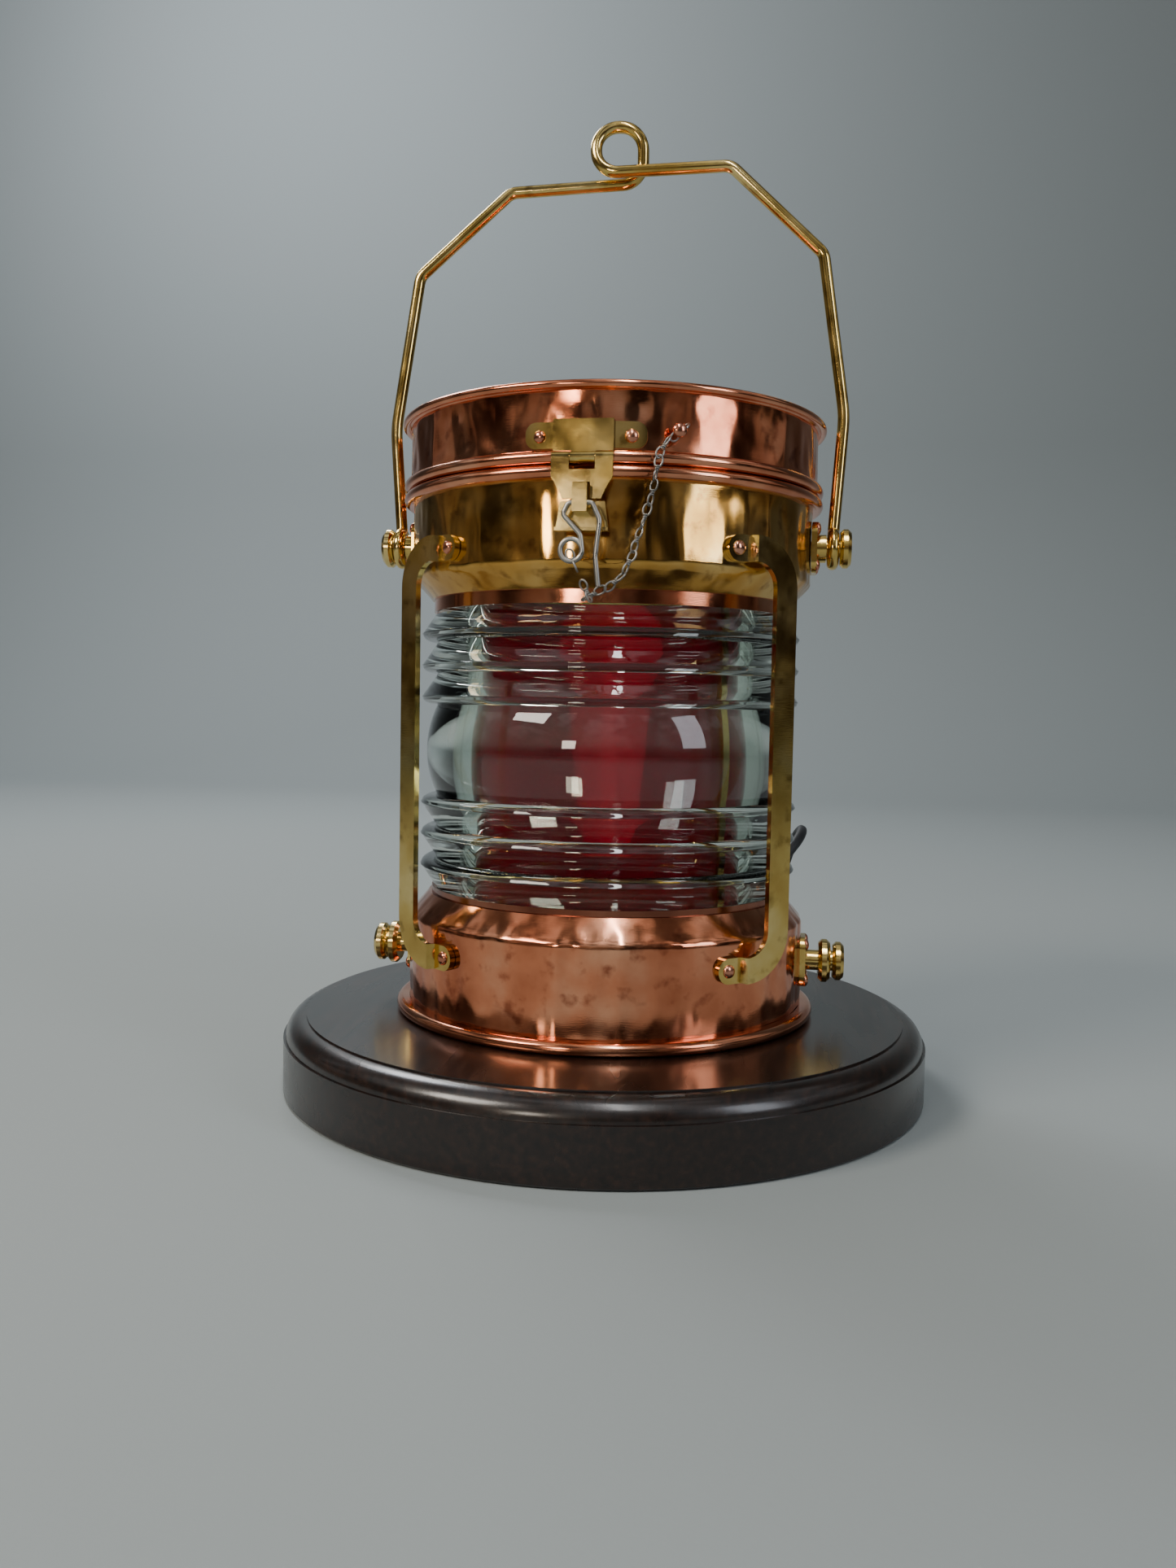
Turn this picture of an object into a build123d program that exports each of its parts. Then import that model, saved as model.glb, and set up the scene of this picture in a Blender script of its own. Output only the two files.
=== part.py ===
"""Ship's anchor lantern, electrified and mounted on a turned wooden plinth.

Frame: millimetres, +Z up, the floor at Z = 0, the lantern's axis on Z.
The hasp is the front, at -Y. The bail swings about the X direction.
"""

from build123d import *
from math import atan2, cos, degrees, pi, radians, sin, sqrt, tan
import os

os.makedirs("parts", exist_ok=True)

# ------------------------------------------------------------------ driving dimensions
# plinth
plinth_radius = 175.0
plinth_height = 40.5
plinth_side_height = 28.7
plinth_quirk = 1.2
plinth_flat_radius = 163.0
plinth_step = 1.0

# sheet metal
sheet = 1.4
collar_height = 6.0

# base drum, measured up from the plinth's top
base_radius = 108.0
base_wall_height = 52.8
shoulder_height = 11.5
base_bead_wire = 3.4

# lens
lens_neck_radius = 94.5
lens_tip_radius = lens_neck_radius + 8.5
lens_belly_radius = lens_neck_radius + 5.5
lens_bore_radius = lens_neck_radius - 8.5
lens_height = 150.0
prism_count = 3
prism_pitch = 16.8
prism_nose = 4.2
prism_crown = 3.2
prism_lead = 13.0
gasket_height = 2.0
neck_radius = lens_neck_radius + 2.0
neck_band_height = 5.5
neck_lip = 1.2
seat_bore_radius = lens_bore_radius - 1.0
lens_side_clearance = 0.6

# upper body
body_radius = base_radius
body_cone_height = 10.3
body_wall_height = 38.9
bead_radius = body_radius + 5.2
bead_height = 6.4

# lid
lid_radius = body_radius + 1.8
lid_wall_height = 31.5
rim_radius = lid_radius + 4.4
rim_wire = 2.0
lid_clearance = 0.3
deck_height = 16.0
chimney_radius = 34.0
chimney_height = 20.0
cap_radius = 46.0

# red filter and its fittings
filter_radius = 76.0
filter_wall = 2.4
seam_angle = 55.0

# guards, each a flat strip with its ends bent round to a riveted foot
guard_width = 12.7
guard_thickness = 3.0
guard_angles = (40.0, 152.0, 208.0, 320.0)
guard_joggle = 4.0
guard_bend = 18.5
guard_reach = guard_bend + 8.5
guard_top_rise = 10.4
guard_bottom_rise = 38.5

# bail, bent from one round rod
rod_radius = 3.15
bail_eye_x = body_radius + 11.0
pivot_drop = 24.9
pivot_pin_radius = 5.0
running_fit = 0.06
button_radius = 10.5
bail_shoulder_height = 155.0
bail_shoulder_x = bail_eye_x - 9.0
bail_top_height = 197.0
bail_top_x = bail_shoulder_x - 50.0
loop_radius = 12.5
loop_lift = 0.6

# lashing studs on the base
stud_rise = 29.5

# rivets
rivet_head = 3.3
rivet_dome = 1.7
rivet_shank = 1.6
rivet_hole_fit = 0.05
tail_gap = 0.15

# ------------------------------------------------------------------ derived levels
base_z = plinth_height
base_top_z = base_z + base_wall_height
neck_z = base_top_z + shoulder_height
lens_z = neck_z + gasket_height
lens_top_z = lens_z + lens_height
upper_neck_z = lens_top_z + gasket_height
cone_z = upper_neck_z + neck_band_height - gasket_height
wall_z = cone_z + body_cone_height
bead_z = wall_z + body_wall_height
split_z = bead_z + bead_height
lid_z = split_z + lid_clearance
lid_wall_z = lid_z + bead_height
rim_z = lid_wall_z + lid_wall_height
prism_first = lens_z + prism_lead
guard_top = wall_z + guard_top_rise
guard_bottom = base_z + guard_bottom_rise
stud_height = base_z + stud_rise
pivot_height = split_z - pivot_drop


def save(part, name):
    """Label one finished piece and write it as its own node."""
    part.label = name
    export_step(part, f"parts/{name}.step")
    print(f"{name}: {len(part.solids())} solid(s), {part.volume / 1000:.2f} cm3")


def radial_plane(angle, radius, height):
    """A plane facing outwards at an angle from the front, turning towards +X."""
    a = radians(angle)
    out = Vector(sin(a), -cos(a), 0)
    side = Vector(cos(a), sin(a), 0)
    return Plane(origin=out * radius + Vector(0, 0, height), x_dir=side, z_dir=out)


def rivet(plane, length):
    """A round-headed rivet: domed head above the plane, shank below it, set-over tail."""
    with BuildPart() as made:
        with BuildSketch(plane):
            Circle(rivet_head)
        extrude(amount=rivet_dome, taper=32)
        with BuildSketch(plane):
            Circle(rivet_shank)
        extrude(amount=-length)
        with BuildSketch(plane.offset(-length)):
            Circle(rivet_shank * 1.5)
        extrude(amount=-0.8)
    return made.part


def drill(plane, radius, depth):
    """A plain round tool that runs both ways from a plane, to be cut from a piece."""
    with BuildPart() as made:
        with BuildSketch(plane):
            Circle(radius)
        extrude(amount=depth, both=True)
    return made.part


def ring(outer, inner, low, high):
    """A plain turned ring between two heights."""
    with BuildPart() as made:
        with BuildSketch(Plane.XY.offset(low)):
            Circle(outer)
            if inner > 0:
                Circle(inner, mode=Mode.SUBTRACT)
        extrude(amount=high - low)
    return made.part


def turned(points):
    """A solid of revolution about the lantern's axis from its (radius, height) outline."""
    with BuildPart() as made:
        with BuildSketch(Plane.XZ):
            with BuildLine():
                Polyline(*points, close=True)
            make_face()
        revolve(axis=Axis.Z)
    return made.part


def skin(points):
    """A turned sheet-metal shell from its outer (radius, height) line."""
    inner = [(r - sheet, z) for r, z in reversed(points)]
    return turned(list(points) + inner)


def bead(inner, outer, low, high):
    """A half-round bead standing out from a wall, as a turned ring."""
    middle = (low + high) / 2
    flat = inner + max(outer - inner - (high - low) / 2, 0.4)
    with BuildPart() as made:
        with BuildSketch(Plane.XZ):
            with BuildLine():
                Line((inner, low), (inner, high))
                Line((inner, high), (flat, high))
                ThreePointArc((flat, high), (outer, middle), (flat, low))
                Line((flat, low), (inner, low))
            make_face()
        revolve(axis=Axis.Z)
    return made.part


def block(x_low, x_high, y_low, y_high, z_low, z_high):
    """A plain box between two corners."""
    with BuildPart() as made:
        with BuildSketch(Plane.XY.offset(z_low)):
            with Locations(((x_low + x_high) / 2, (y_low + y_high) / 2)):
                Rectangle(x_high - x_low, y_high - y_low)
        extrude(amount=z_high - z_low)
    return made.part


def side_profile(points, x_low, x_high):
    """A plate with a (y, z) outline, running along X."""
    with BuildPart() as made:
        with BuildSketch(Plane.YZ.offset(x_low)):
            with BuildLine():
                Polyline(*points, close=True)
            make_face()
        extrude(amount=x_high - x_low)
    return made.part


def x_round(radius, x_low, x_high, y, z):
    """A round bar along X."""
    with BuildPart() as made:
        with BuildSketch(Plane.YZ.offset(x_low)):
            with Locations((y, z)):
                Circle(radius)
        extrude(amount=x_high - x_low)
    return made.part


# ------------------------------------------------------------------ plinth
roundover_foot = plinth_radius - plinth_quirk
roundover_top = plinth_height - plinth_step
roundover_width = roundover_foot - plinth_flat_radius
roundover_rise = roundover_top - plinth_side_height
with BuildPart() as plinth:
    with BuildSketch(Plane.XZ):
        with BuildLine():
            Line((0, 0), (plinth_radius - 1.5, 0))
            Line((plinth_radius - 1.5, 0), (plinth_radius, 1.5))
            Line((plinth_radius, 1.5), (plinth_radius, plinth_side_height))
            Line((plinth_radius, plinth_side_height), (roundover_foot, plinth_side_height))
            ThreePointArc(
                (roundover_foot, plinth_side_height),
                (
                    plinth_flat_radius + roundover_width * cos(radians(45)),
                    plinth_side_height + roundover_rise * sin(radians(45)),
                ),
                (plinth_flat_radius, roundover_top),
            )
            Line((plinth_flat_radius, roundover_top), (plinth_flat_radius, plinth_height))
            Line((plinth_flat_radius, plinth_height), (0, plinth_height))
            Line((0, plinth_height), (0, 0))
        make_face()
    revolve(axis=Axis.Z)

screw_circle = 70.0
screw_radius = 2.2
screw_head = 4.5
screw_recess = 8.0
screw_count = 3
base_floor = 2.0
screw_tip = 6.0
screw_head_height = 3.0
with BuildPart() as plinth_screws:
    with BuildSketch(Plane.XY.offset(screw_recess)):
        with PolarLocations(screw_circle, screw_count, start_angle=90):
            Circle(screw_head)
    extrude(amount=screw_head_height)
    with BuildSketch(Plane.XY.offset(screw_recess)):
        with PolarLocations(screw_circle, screw_count, start_angle=90):
            Circle(screw_radius)
    extrude(amount=plinth_height - screw_recess + base_floor + screw_tip)
with plinth:
    with Locations(Plane.XY):
        with PolarLocations(screw_circle, screw_count, start_angle=90):
            Hole(screw_radius)
    with BuildSketch(Plane.XY):
        with PolarLocations(screw_circle, screw_count, start_angle=90):
            Circle(screw_head)
    extrude(amount=screw_recess + screw_head_height, mode=Mode.SUBTRACT)
save(plinth.part, "plinth")
save(plinth_screws.part, "plinth_screws")

# ------------------------------------------------------------------ base drum
base_plate = ring(base_radius - sheet, screw_radius * 5, base_z, base_z + base_floor)
for step in range(screw_count):
    turn = radians(90 + step * 360 / screw_count)
    spot = (screw_circle * cos(turn), screw_circle * sin(turn), base_z)
    base_plate -= drill(Plane(origin=spot, z_dir=(0, 0, 1)), screw_radius, base_floor * 2)
save(base_plate, "base_plate")

shoulder_radius = neck_radius + sheet
drum_line = [(base_radius, base_z), (base_radius, base_top_z), (shoulder_radius, neck_z)]
base_drum = skin(drum_line)
base_bead = base_bead_wire * 2
save(bead(base_radius, base_radius + base_bead, base_z, base_z + base_bead), "base_rim_bead")


lens_side = lens_neck_radius + lens_side_clearance


def neck_collar(foot, upward, back):
    """The collar round one end of the lens, soldered to the sheet metal behind it."""
    low, high = sorted((foot - back * upward, foot + (gasket_height + neck_lip) * upward))
    return ring(neck_radius, lens_side, low, high)


def seat_ring(foot, upward):
    """The flat ring inside a collar that the lens and its gasket bear on."""
    low, high = sorted((foot - sheet * upward, foot))
    return ring(lens_side, seat_bore_radius, low, high)


save(neck_collar(neck_z, 1, 2 * sheet) + seat_ring(neck_z, 1), "lower_neck_band")
save(neck_collar(upper_neck_z, -1, cone_z - upper_neck_z + sheet), "upper_neck_band")
save(seat_ring(upper_neck_z, -1), "upper_seat_ring")
gasket_outer = lens_neck_radius
gaskets = [
    ring(gasket_outer, lens_bore_radius, neck_z, lens_z),
    ring(gasket_outer, lens_bore_radius, lens_top_z, upper_neck_z),
]
save(Part(children=gaskets), "lens_gaskets")

# ------------------------------------------------------------------ pressed glass lens
prism_tips = [prism_first + count * prism_pitch for count in range(prism_count)]


def prism(tip_z, upward):
    """One prism ring's outline points: steep face from the lens's end, tip, crown, root."""
    foot = (lens_neck_radius, tip_z - (prism_pitch - prism_nose) * upward)
    tip = (lens_tip_radius, tip_z)
    crown = (lens_tip_radius - prism_crown, tip_z + prism_nose * 0.72 * upward)
    root = (lens_neck_radius, tip_z + prism_nose * upward)
    return foot, tip, crown, root


with BuildPart() as lens:
    with BuildSketch(Plane.XZ):
        with BuildLine():
            spot = (lens_neck_radius, lens_z)
            for tip_z in prism_tips:
                foot, tip, crown, root = prism(tip_z, 1)
                if foot[1] - spot[1] > 0.01:
                    Line(spot, foot)
                Line(foot, tip)
                ThreePointArc(tip, crown, root)
                spot = root
            mirror_z = lens_z + lens_top_z
            belly_top = (lens_neck_radius, mirror_z - spot[1])
            ThreePointArc(spot, (lens_belly_radius, mirror_z / 2), belly_top)
            spot = belly_top
            for tip_z in reversed(prism_tips):
                foot, tip, crown, root = prism(mirror_z - tip_z, -1)
                ThreePointArc(root, crown, tip)
                Line(tip, foot)
                spot = foot
            Line(spot, (lens_neck_radius, lens_top_z))
            Line((lens_neck_radius, lens_top_z), (lens_bore_radius, lens_top_z))
            Line((lens_bore_radius, lens_top_z), (lens_bore_radius, lens_z))
            Line((lens_bore_radius, lens_z), (lens_neck_radius, lens_z))
        make_face()
    revolve(axis=Axis.Z)
save(lens.part, "lens")

# ------------------------------------------------------------------ upper body and lid shells
body_line = [(shoulder_radius, cone_z), (body_radius, wall_z), (body_radius, split_z + collar_height)]
upper_body = skin(body_line)
save(bead(body_radius, bead_radius, bead_z, split_z), "upper_body_bead")

lid_drum = skin([(lid_radius, lid_z), (lid_radius, rim_z - 2 * rim_wire)])
save(bead(lid_radius, bead_radius, lid_z, lid_wall_z), "lid_bead")
rim_inner = lid_radius - sheet
with BuildPart() as lid_rim:
    with BuildSketch(Plane.XZ):
        with BuildLine():
            Polyline(
                (rim_inner, rim_z - 2 * rim_wire),
                (lid_radius, rim_z - 2 * rim_wire),
                (rim_radius - rim_wire, rim_z - rim_wire),
                (rim_radius - rim_wire, rim_z),
                (rim_radius - rim_wire * 2, rim_z),
                close=True,
            )
        make_face()
        with Locations((rim_radius - rim_wire, rim_z - rim_wire)):
            Circle(rim_wire)
    revolve(axis=Axis.Z)
save(lid_rim.part, "lid_rim")

vent_radius = chimney_radius - sheet
deck_z = lid_wall_z + deck_height
deck_top_z = deck_z + sheet
chimney_top_z = deck_top_z + chimney_height
cap_rise = 6.0
cap_slope = 5.0
save(ring(rim_inner, vent_radius, deck_z, deck_top_z), "lid_deck")
save(ring(chimney_radius, vent_radius, deck_top_z, chimney_top_z), "chimney")
cap_z = chimney_top_z + cap_rise
cap_edge_z = cap_z - cap_slope
chimney_cap = turned(
    [(0, cap_z), (cap_radius, cap_edge_z), (cap_radius, cap_edge_z + sheet), (0, cap_z + sheet)]
)
save(chimney_cap, "chimney_cap")
leg_count = 3
leg_width = 8.0
leg_foot = 9.0
with BuildPart() as cap_legs:
    with BuildSketch(Plane.XY.offset(chimney_top_z - leg_foot)):
        with PolarLocations(chimney_radius + sheet / 2, leg_count):
            Rectangle(sheet, leg_width)
    extrude(amount=leg_foot + cap_rise)
cap_space = cap_z + leg_foot
under_cap = turned([(0, cap_z), (cap_radius, cap_edge_z), (cap_radius, cap_space), (0, cap_space)])
cap_legs_cut = cap_legs.part - under_cap - ring(chimney_radius, 0, 0, cap_space)
save(cap_legs_cut, "cap_legs")

# ------------------------------------------------------------------ red filter and lamp
filter_floor = neck_z - sheet
filter_top = lens_top_z - 1.0
holder_flange = lens_neck_radius - 3.5
channel_clearance = 0.2
channel_wall = 1.3
channel_depth = 5.0
channel_in = filter_radius + channel_clearance
channel_out = channel_in + channel_wall
filter_inner = filter_radius - filter_wall
save(ring(filter_radius, filter_inner, filter_floor, filter_top), "red_filter")
base_channel = ring(holder_flange, filter_inner - 1, filter_floor - sheet, filter_floor)
base_channel += ring(channel_out, channel_in, filter_floor, filter_floor + channel_depth)
save(base_channel, "filter_base_ring")
top_channel = ring(channel_out, filter_inner - 1, filter_top, filter_top + sheet)
top_channel += ring(channel_out, channel_in, filter_top - channel_depth, filter_top)
save(top_channel, "filter_top_ring")
seam_width = 5.0
seam_low = filter_floor + channel_depth
seam_high = filter_top - channel_depth
with BuildPart() as seam_block:
    with BuildSketch(radial_plane(seam_angle, 0, (seam_low + seam_high) / 2)):
        Rectangle(seam_width, seam_high - seam_low)
    extrude(amount=filter_radius + channel_wall)
filter_core = ring(filter_radius, 0, seam_low - 5, seam_high + 5)
save(seam_block.part - filter_core, "filter_seam_strip")

floor_z = base_z + base_floor
column_radius = 9.0
column_bore = 5.0
column_foot = 24.0
column_foot_height = 3.0
holder_z = neck_z + 17.2
holder_radius = 19.0
holder_height = 36.0
bulb_cap_radius = 13.0
bulb_cap_height = 24.0
bulb_radius = 30.0
bulb_height = 78.0
bulb_neck = 12.5
bulb_wall = 1.0
lamp_column = ring(column_foot, column_bore, floor_z, floor_z + column_foot_height)
lamp_column += ring(column_radius, column_bore, floor_z + column_foot_height, holder_z)
holder_top = holder_z + holder_height
save(
    turned(
        [
            (column_bore, holder_z),
            (holder_radius - 6, holder_z),
            (holder_radius, holder_z + 8),
            (holder_radius, holder_top),
            (bulb_cap_radius + 0.3, holder_top),
            (bulb_cap_radius + 0.3, holder_top - bulb_cap_height - 2),
            (column_bore, holder_top - bulb_cap_height - 2),
        ]
    ),
    "lamp_holder",
)
cap_low = holder_top - bulb_cap_height
save(ring(bulb_cap_radius, bulb_neck - 2, cap_low, holder_top), "bulb_cap")
bulb_centre = holder_top + bulb_height - bulb_radius
with BuildPart() as bulb_glass:
    with BuildSketch(Plane.XZ):
        with BuildLine():
            start = (bulb_neck, holder_top)
            waist = (bulb_neck + 1.5, holder_top + 8)
            side = (bulb_radius * cos(radians(28)), bulb_centre - bulb_radius * sin(radians(28)))
            Line(start, waist)
            Line(waist, side)
            crown = (bulb_radius * cos(radians(40)), bulb_centre + bulb_radius * sin(radians(40)))
            ThreePointArc(side, crown, (0, bulb_centre + bulb_radius))
            Line((0, bulb_centre + bulb_radius), (0, bulb_centre + bulb_radius - bulb_wall))
            small = bulb_radius - bulb_wall
            side_in = (small * cos(radians(28)), bulb_centre - small * sin(radians(28)))
            crown_in = (small * cos(radians(40)), bulb_centre + small * sin(radians(40)))
            ThreePointArc((0, bulb_centre + small), crown_in, side_in)
            waist_in = (bulb_neck + 1.5 - bulb_wall, holder_top + 8)
            Line(side_in, waist_in)
            Line(waist_in, (bulb_neck - bulb_wall, holder_top))
            Line((bulb_neck - bulb_wall, holder_top), start)
        make_face()
    revolve(axis=Axis.Z)
save(bulb_glass.part, "bulb_glass")
stem_radius = 4.0
stem_height = 34.0
stem_base = bulb_neck - 2
stem_foot = 3.0
bulb_stem = ring(stem_base, 0, cap_low, cap_low + stem_foot)
bulb_stem += ring(stem_radius, 0, cap_low + stem_foot, holder_top + stem_height)
save(bulb_stem, "bulb_stem")
filament_wire = 0.5
filament_reach = 13.0
filament_z = holder_top + stem_height
with BuildPart() as filament:
    with BuildLine() as filament_path:
        FilletPolyline(
            (-1.5, 0, filament_z),
            (-filament_reach, 0, filament_z + 12),
            (0, filament_reach * 0.8, filament_z + 13),
            (filament_reach, 0, filament_z + 12),
            (1.5, 0, filament_z),
            radius=3,
        )
    with BuildSketch(Plane(origin=filament_path.line @ 0, z_dir=filament_path.line % 0)):
        Circle(filament_wire)
    sweep()
save(filament.part, "bulb_filament")

# ------------------------------------------------------------------ guards
guard_plate_in = base_radius + guard_joggle
foot_reach = 7.0
joggle_end = guard_reach - guard_bend
foot_in = base_radius - 4


def guard_arm(angle, reach, height):
    """One foot of a guard: the riveted pad on the wall and the joggle out to the strip."""
    side = radial_plane(angle, 0, height).x_dir
    low = height - guard_width / 2
    with BuildPart() as arm:
        with BuildSketch(Plane(origin=(0, 0, low), x_dir=side, z_dir=(0, 0, 1))):
            with BuildLine():
                outline = [
                    (0, foot_in),
                    (0, base_radius + guard_thickness),
                    (foot_reach, base_radius + guard_thickness),
                    (joggle_end, guard_plate_in + guard_thickness),
                    (joggle_end, guard_plate_in),
                    (foot_reach, base_radius),
                    (foot_reach, foot_in),
                ]
                Polyline(*[(u * reach, -w) for u, w in outline], close=True)
            make_face()
        extrude(amount=guard_width)
        with BuildSketch(radial_plane(angle, foot_in, height)):
            Circle(guard_width / 2)
        extrude(amount=guard_thickness + base_radius - foot_in)
    return arm.part


def guard_strip(angle, reach):
    """The standing strip of a guard with its two edge-bent corners."""
    middle = (guard_top + guard_bottom) / 2
    half = (guard_top - guard_bottom) / 2
    corner = half - guard_bend
    inside = guard_bend - guard_width / 2
    outside = guard_bend + guard_width / 2
    centre = joggle_end
    with BuildPart() as strip:
        with BuildSketch(radial_plane(angle, guard_plate_in, middle)):
            with Locations((guard_reach * reach, 0)):
                Rectangle(guard_width, 2 * corner)
            for end in (-1, 1):
                with BuildLine():
                    first = (centre * reach, (corner + inside) * end)
                    last = (centre * reach, (corner + outside) * end)
                    inner_end = ((centre + inside) * reach, corner * end)
                    outer_end = ((centre + outside) * reach, corner * end)
                    slant = cos(radians(45))
                    inner_x = (centre + inside * slant) * reach
                    inner_mid = (inner_x, (corner + inside * slant) * end)
                    outer_x = (centre + outside * slant) * reach
                    outer_mid = (outer_x, (corner + outside * slant) * end)
                    ThreePointArc(first, inner_mid, inner_end)
                    Line(inner_end, outer_end)
                    ThreePointArc(outer_end, outer_mid, last)
                    Line(last, first)
                make_face()
        extrude(amount=guard_thickness)
    return strip.part


drum_core = ring(base_radius, 0, base_z, rim_z)
body_rivet_list = []
body_holes = []
guard_names = ("guard_front_right", "guard_rear_right", "guard_rear_left", "guard_front_left")
for angle, name in zip(guard_angles, guard_names):
    reach = 1 if angle in (guard_angles[0], guard_angles[2]) else -1
    guard = guard_strip(angle, reach)
    for height in (guard_top, guard_bottom):
        guard += guard_arm(angle, reach, height)
    guard -= drum_core
    for height in (guard_top, guard_bottom):
        seat = radial_plane(angle, base_radius + guard_thickness, height)
        tool = drill(seat, rivet_shank + rivet_hole_fit, 8)
        guard -= tool
        body_holes.append(tool)
        body_rivet_list.append(rivet(seat, guard_thickness + sheet + tail_gap))
    save(guard, name)

# ------------------------------------------------------------------ trunnions and lashing studs
flange_width = 24.0
flange_height = 27.0
flange_corner = 6.0
flange_thickness = 2.4
flange_face = base_radius + flange_thickness
flange_rivet_x = 8.2
flange_rivet_z = 9.6
shank_radius = 4.0
shank_inner = body_radius - 9.0
collar_radius = 7.5
collar_face = body_radius + 7.4
button_face = bail_eye_x + rod_radius + 0.45
button_thickness = 6.0
stud_neck = 5.5
stud_disc_radius = 11.75
stud_disc_face = body_radius + 9.5
stud_disc_thickness = 6.4
stud_groove = 1.2
nut_width = 14.0
nut_height = 5.0
flange_hole = flange_face + 10


def x_turned(line):
    """A piece turned about the X direction through the origin, from its (x, radius) line."""
    with BuildPart() as made:
        with BuildSketch(Plane.XY):
            with BuildLine():
                Polyline(*line, close=True)
            make_face()
        revolve(axis=Axis.X)
    return made.part


def rounded(x_face, radius, thickness):
    """Outline points of a disc with softened edges, standing on a face."""
    soft = thickness * 0.3
    return [
        (x_face, radius - soft),
        (x_face + soft, radius),
        (x_face + thickness - soft, radius),
        (x_face + thickness, radius - soft),
    ]


def sided(part, side, height):
    """Put a right-hand piece at its height, on the right (1) or, mirrored, on the left (-1)."""
    placed = Pos(0, 0, height) * part
    if side < 0:
        placed = placed.mirror(Plane.YZ)
    return placed


trunnion = x_turned(
    [(shank_inner, 0), (shank_inner, shank_radius), (flange_face, shank_radius)]
    + [(flange_face, collar_radius), (collar_face, collar_radius)]
    + [(collar_face, pivot_pin_radius), (button_face, pivot_pin_radius)]
    + rounded(button_face, button_radius, button_thickness)
    + [(button_face + button_thickness, 0)]
)
stud_button_face = stud_disc_face + stud_disc_thickness + stud_groove
lashing_stud = x_turned(
    [(shank_inner, 0), (shank_inner, shank_radius), (flange_face, shank_radius)]
    + [(flange_face, stud_neck), (stud_disc_face, stud_neck)]
    + rounded(stud_disc_face, stud_disc_radius, stud_disc_thickness)
    + [(stud_disc_face + stud_disc_thickness, stud_neck), (stud_button_face, stud_neck)]
    + rounded(stud_button_face, button_radius, button_thickness)
    + [(stud_button_face + button_thickness, 0)]
)
with BuildPart() as flange_blank:
    with BuildSketch(Plane.YZ.offset(foot_in)):
        RectangleRounded(flange_width, flange_height, flange_corner)
        Circle(shank_radius, mode=Mode.SUBTRACT)
        with GridLocations(2 * flange_rivet_x, 2 * flange_rivet_z, 2, 2):
            Circle(rivet_shank + rivet_hole_fit, mode=Mode.SUBTRACT)
    extrude(amount=flange_face - foot_in)
drum_slug = ring(base_radius, 0, -flange_height, flange_height)
flange = flange_blank.part - drum_slug
nut_x = sqrt((base_radius - sheet) ** 2 - (nut_width / 2) ** 2) - nut_height - 0.2
with BuildPart() as nut:
    with BuildSketch(Plane.YZ.offset(nut_x)):
        RegularPolygon(nut_width / 2, 6, major_radius=False)
        Circle(shank_radius, mode=Mode.SUBTRACT)
    extrude(amount=nut_height)

nut_list = []
plate_list = []
for side, word in ((1, "right"), (-1, "left")):
    save(sided(trunnion, side, pivot_height), f"trunnion_pin_{word}")
    save(sided(lashing_stud, side, stud_height), f"lashing_stud_{word}")
    for height in (pivot_height, stud_height):
        plate_list.append(sided(flange, side, height))
        nut_list.append(sided(nut.part, side, height))
        bore = x_round(shank_radius, foot_in - 8, flange_hole, 0, height)
        body_holes.append(bore if side > 0 else bore.mirror(Plane.YZ))
        for y in (-flange_rivet_x, flange_rivet_x):
            for rise in (-flange_rivet_z, flange_rivet_z):
                seat = Plane(origin=(flange_face * side, y, height + rise), z_dir=(side, 0, 0))
                body_rivet_list.append(rivet(seat, flange_thickness + sheet + 0.5 + tail_gap))
                body_holes.append(drill(seat, rivet_shank + rivet_hole_fit, 9))
save(Part(children=nut_list), "stud_nuts")
save(Part(children=plate_list), "stud_plates")

# ------------------------------------------------------------------ bail
eye_ring = pivot_pin_radius + running_fit + rod_radius
eye_lap = 1.5
eye_top = pivot_height + eye_ring - eye_lap
cross_gap = rod_radius + loop_lift / 2
loop_low = pivot_height + bail_top_height + 3
loop_high = loop_low + 2 * loop_radius
left_low = loop_low - 2 * loop_radius * 0.3
loop_bend = loop_radius - 0.4
bail_points = [
    (bail_eye_x, 0, eye_top),
    (bail_eye_x + 4, 0, pivot_height + 70),
    (bail_shoulder_x, 0, pivot_height + bail_shoulder_height),
    (bail_top_x, -cross_gap, loop_low + 1),
    (-loop_radius, -cross_gap, loop_low),
    (-loop_radius, -cross_gap / 3, loop_high),
    (loop_radius, cross_gap / 3, loop_high),
    (loop_radius, cross_gap, loop_low - 3.5),
    (-bail_top_x, cross_gap, loop_low - 6),
    (-bail_shoulder_x, 0, pivot_height + bail_shoulder_height - 6),
    (-bail_eye_x - 4, 0, pivot_height + 66),
    (-bail_eye_x, 0, eye_top),
]
bail_bends = [60, 9, 9, loop_bend, loop_bend, loop_bend, loop_bend - 1, 9, 9, 60]
with BuildPart() as bail:
    with BuildLine() as bail_path:
        FilletPolyline(*bail_points, radius=bail_bends)
    with BuildSketch(Plane(origin=bail_path.line @ 0, z_dir=bail_path.line % 0)):
        Circle(rod_radius)
    sweep(path=bail_path.line)
    for side in (1, -1):
        with BuildSketch(Plane.XY.offset(pivot_height)):
            with Locations((bail_eye_x * side, eye_ring)):
                Circle(rod_radius)
        revolve(axis=Axis((0, 0, pivot_height), (1, 0, 0)))
save(bail.part, "bail")

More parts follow.
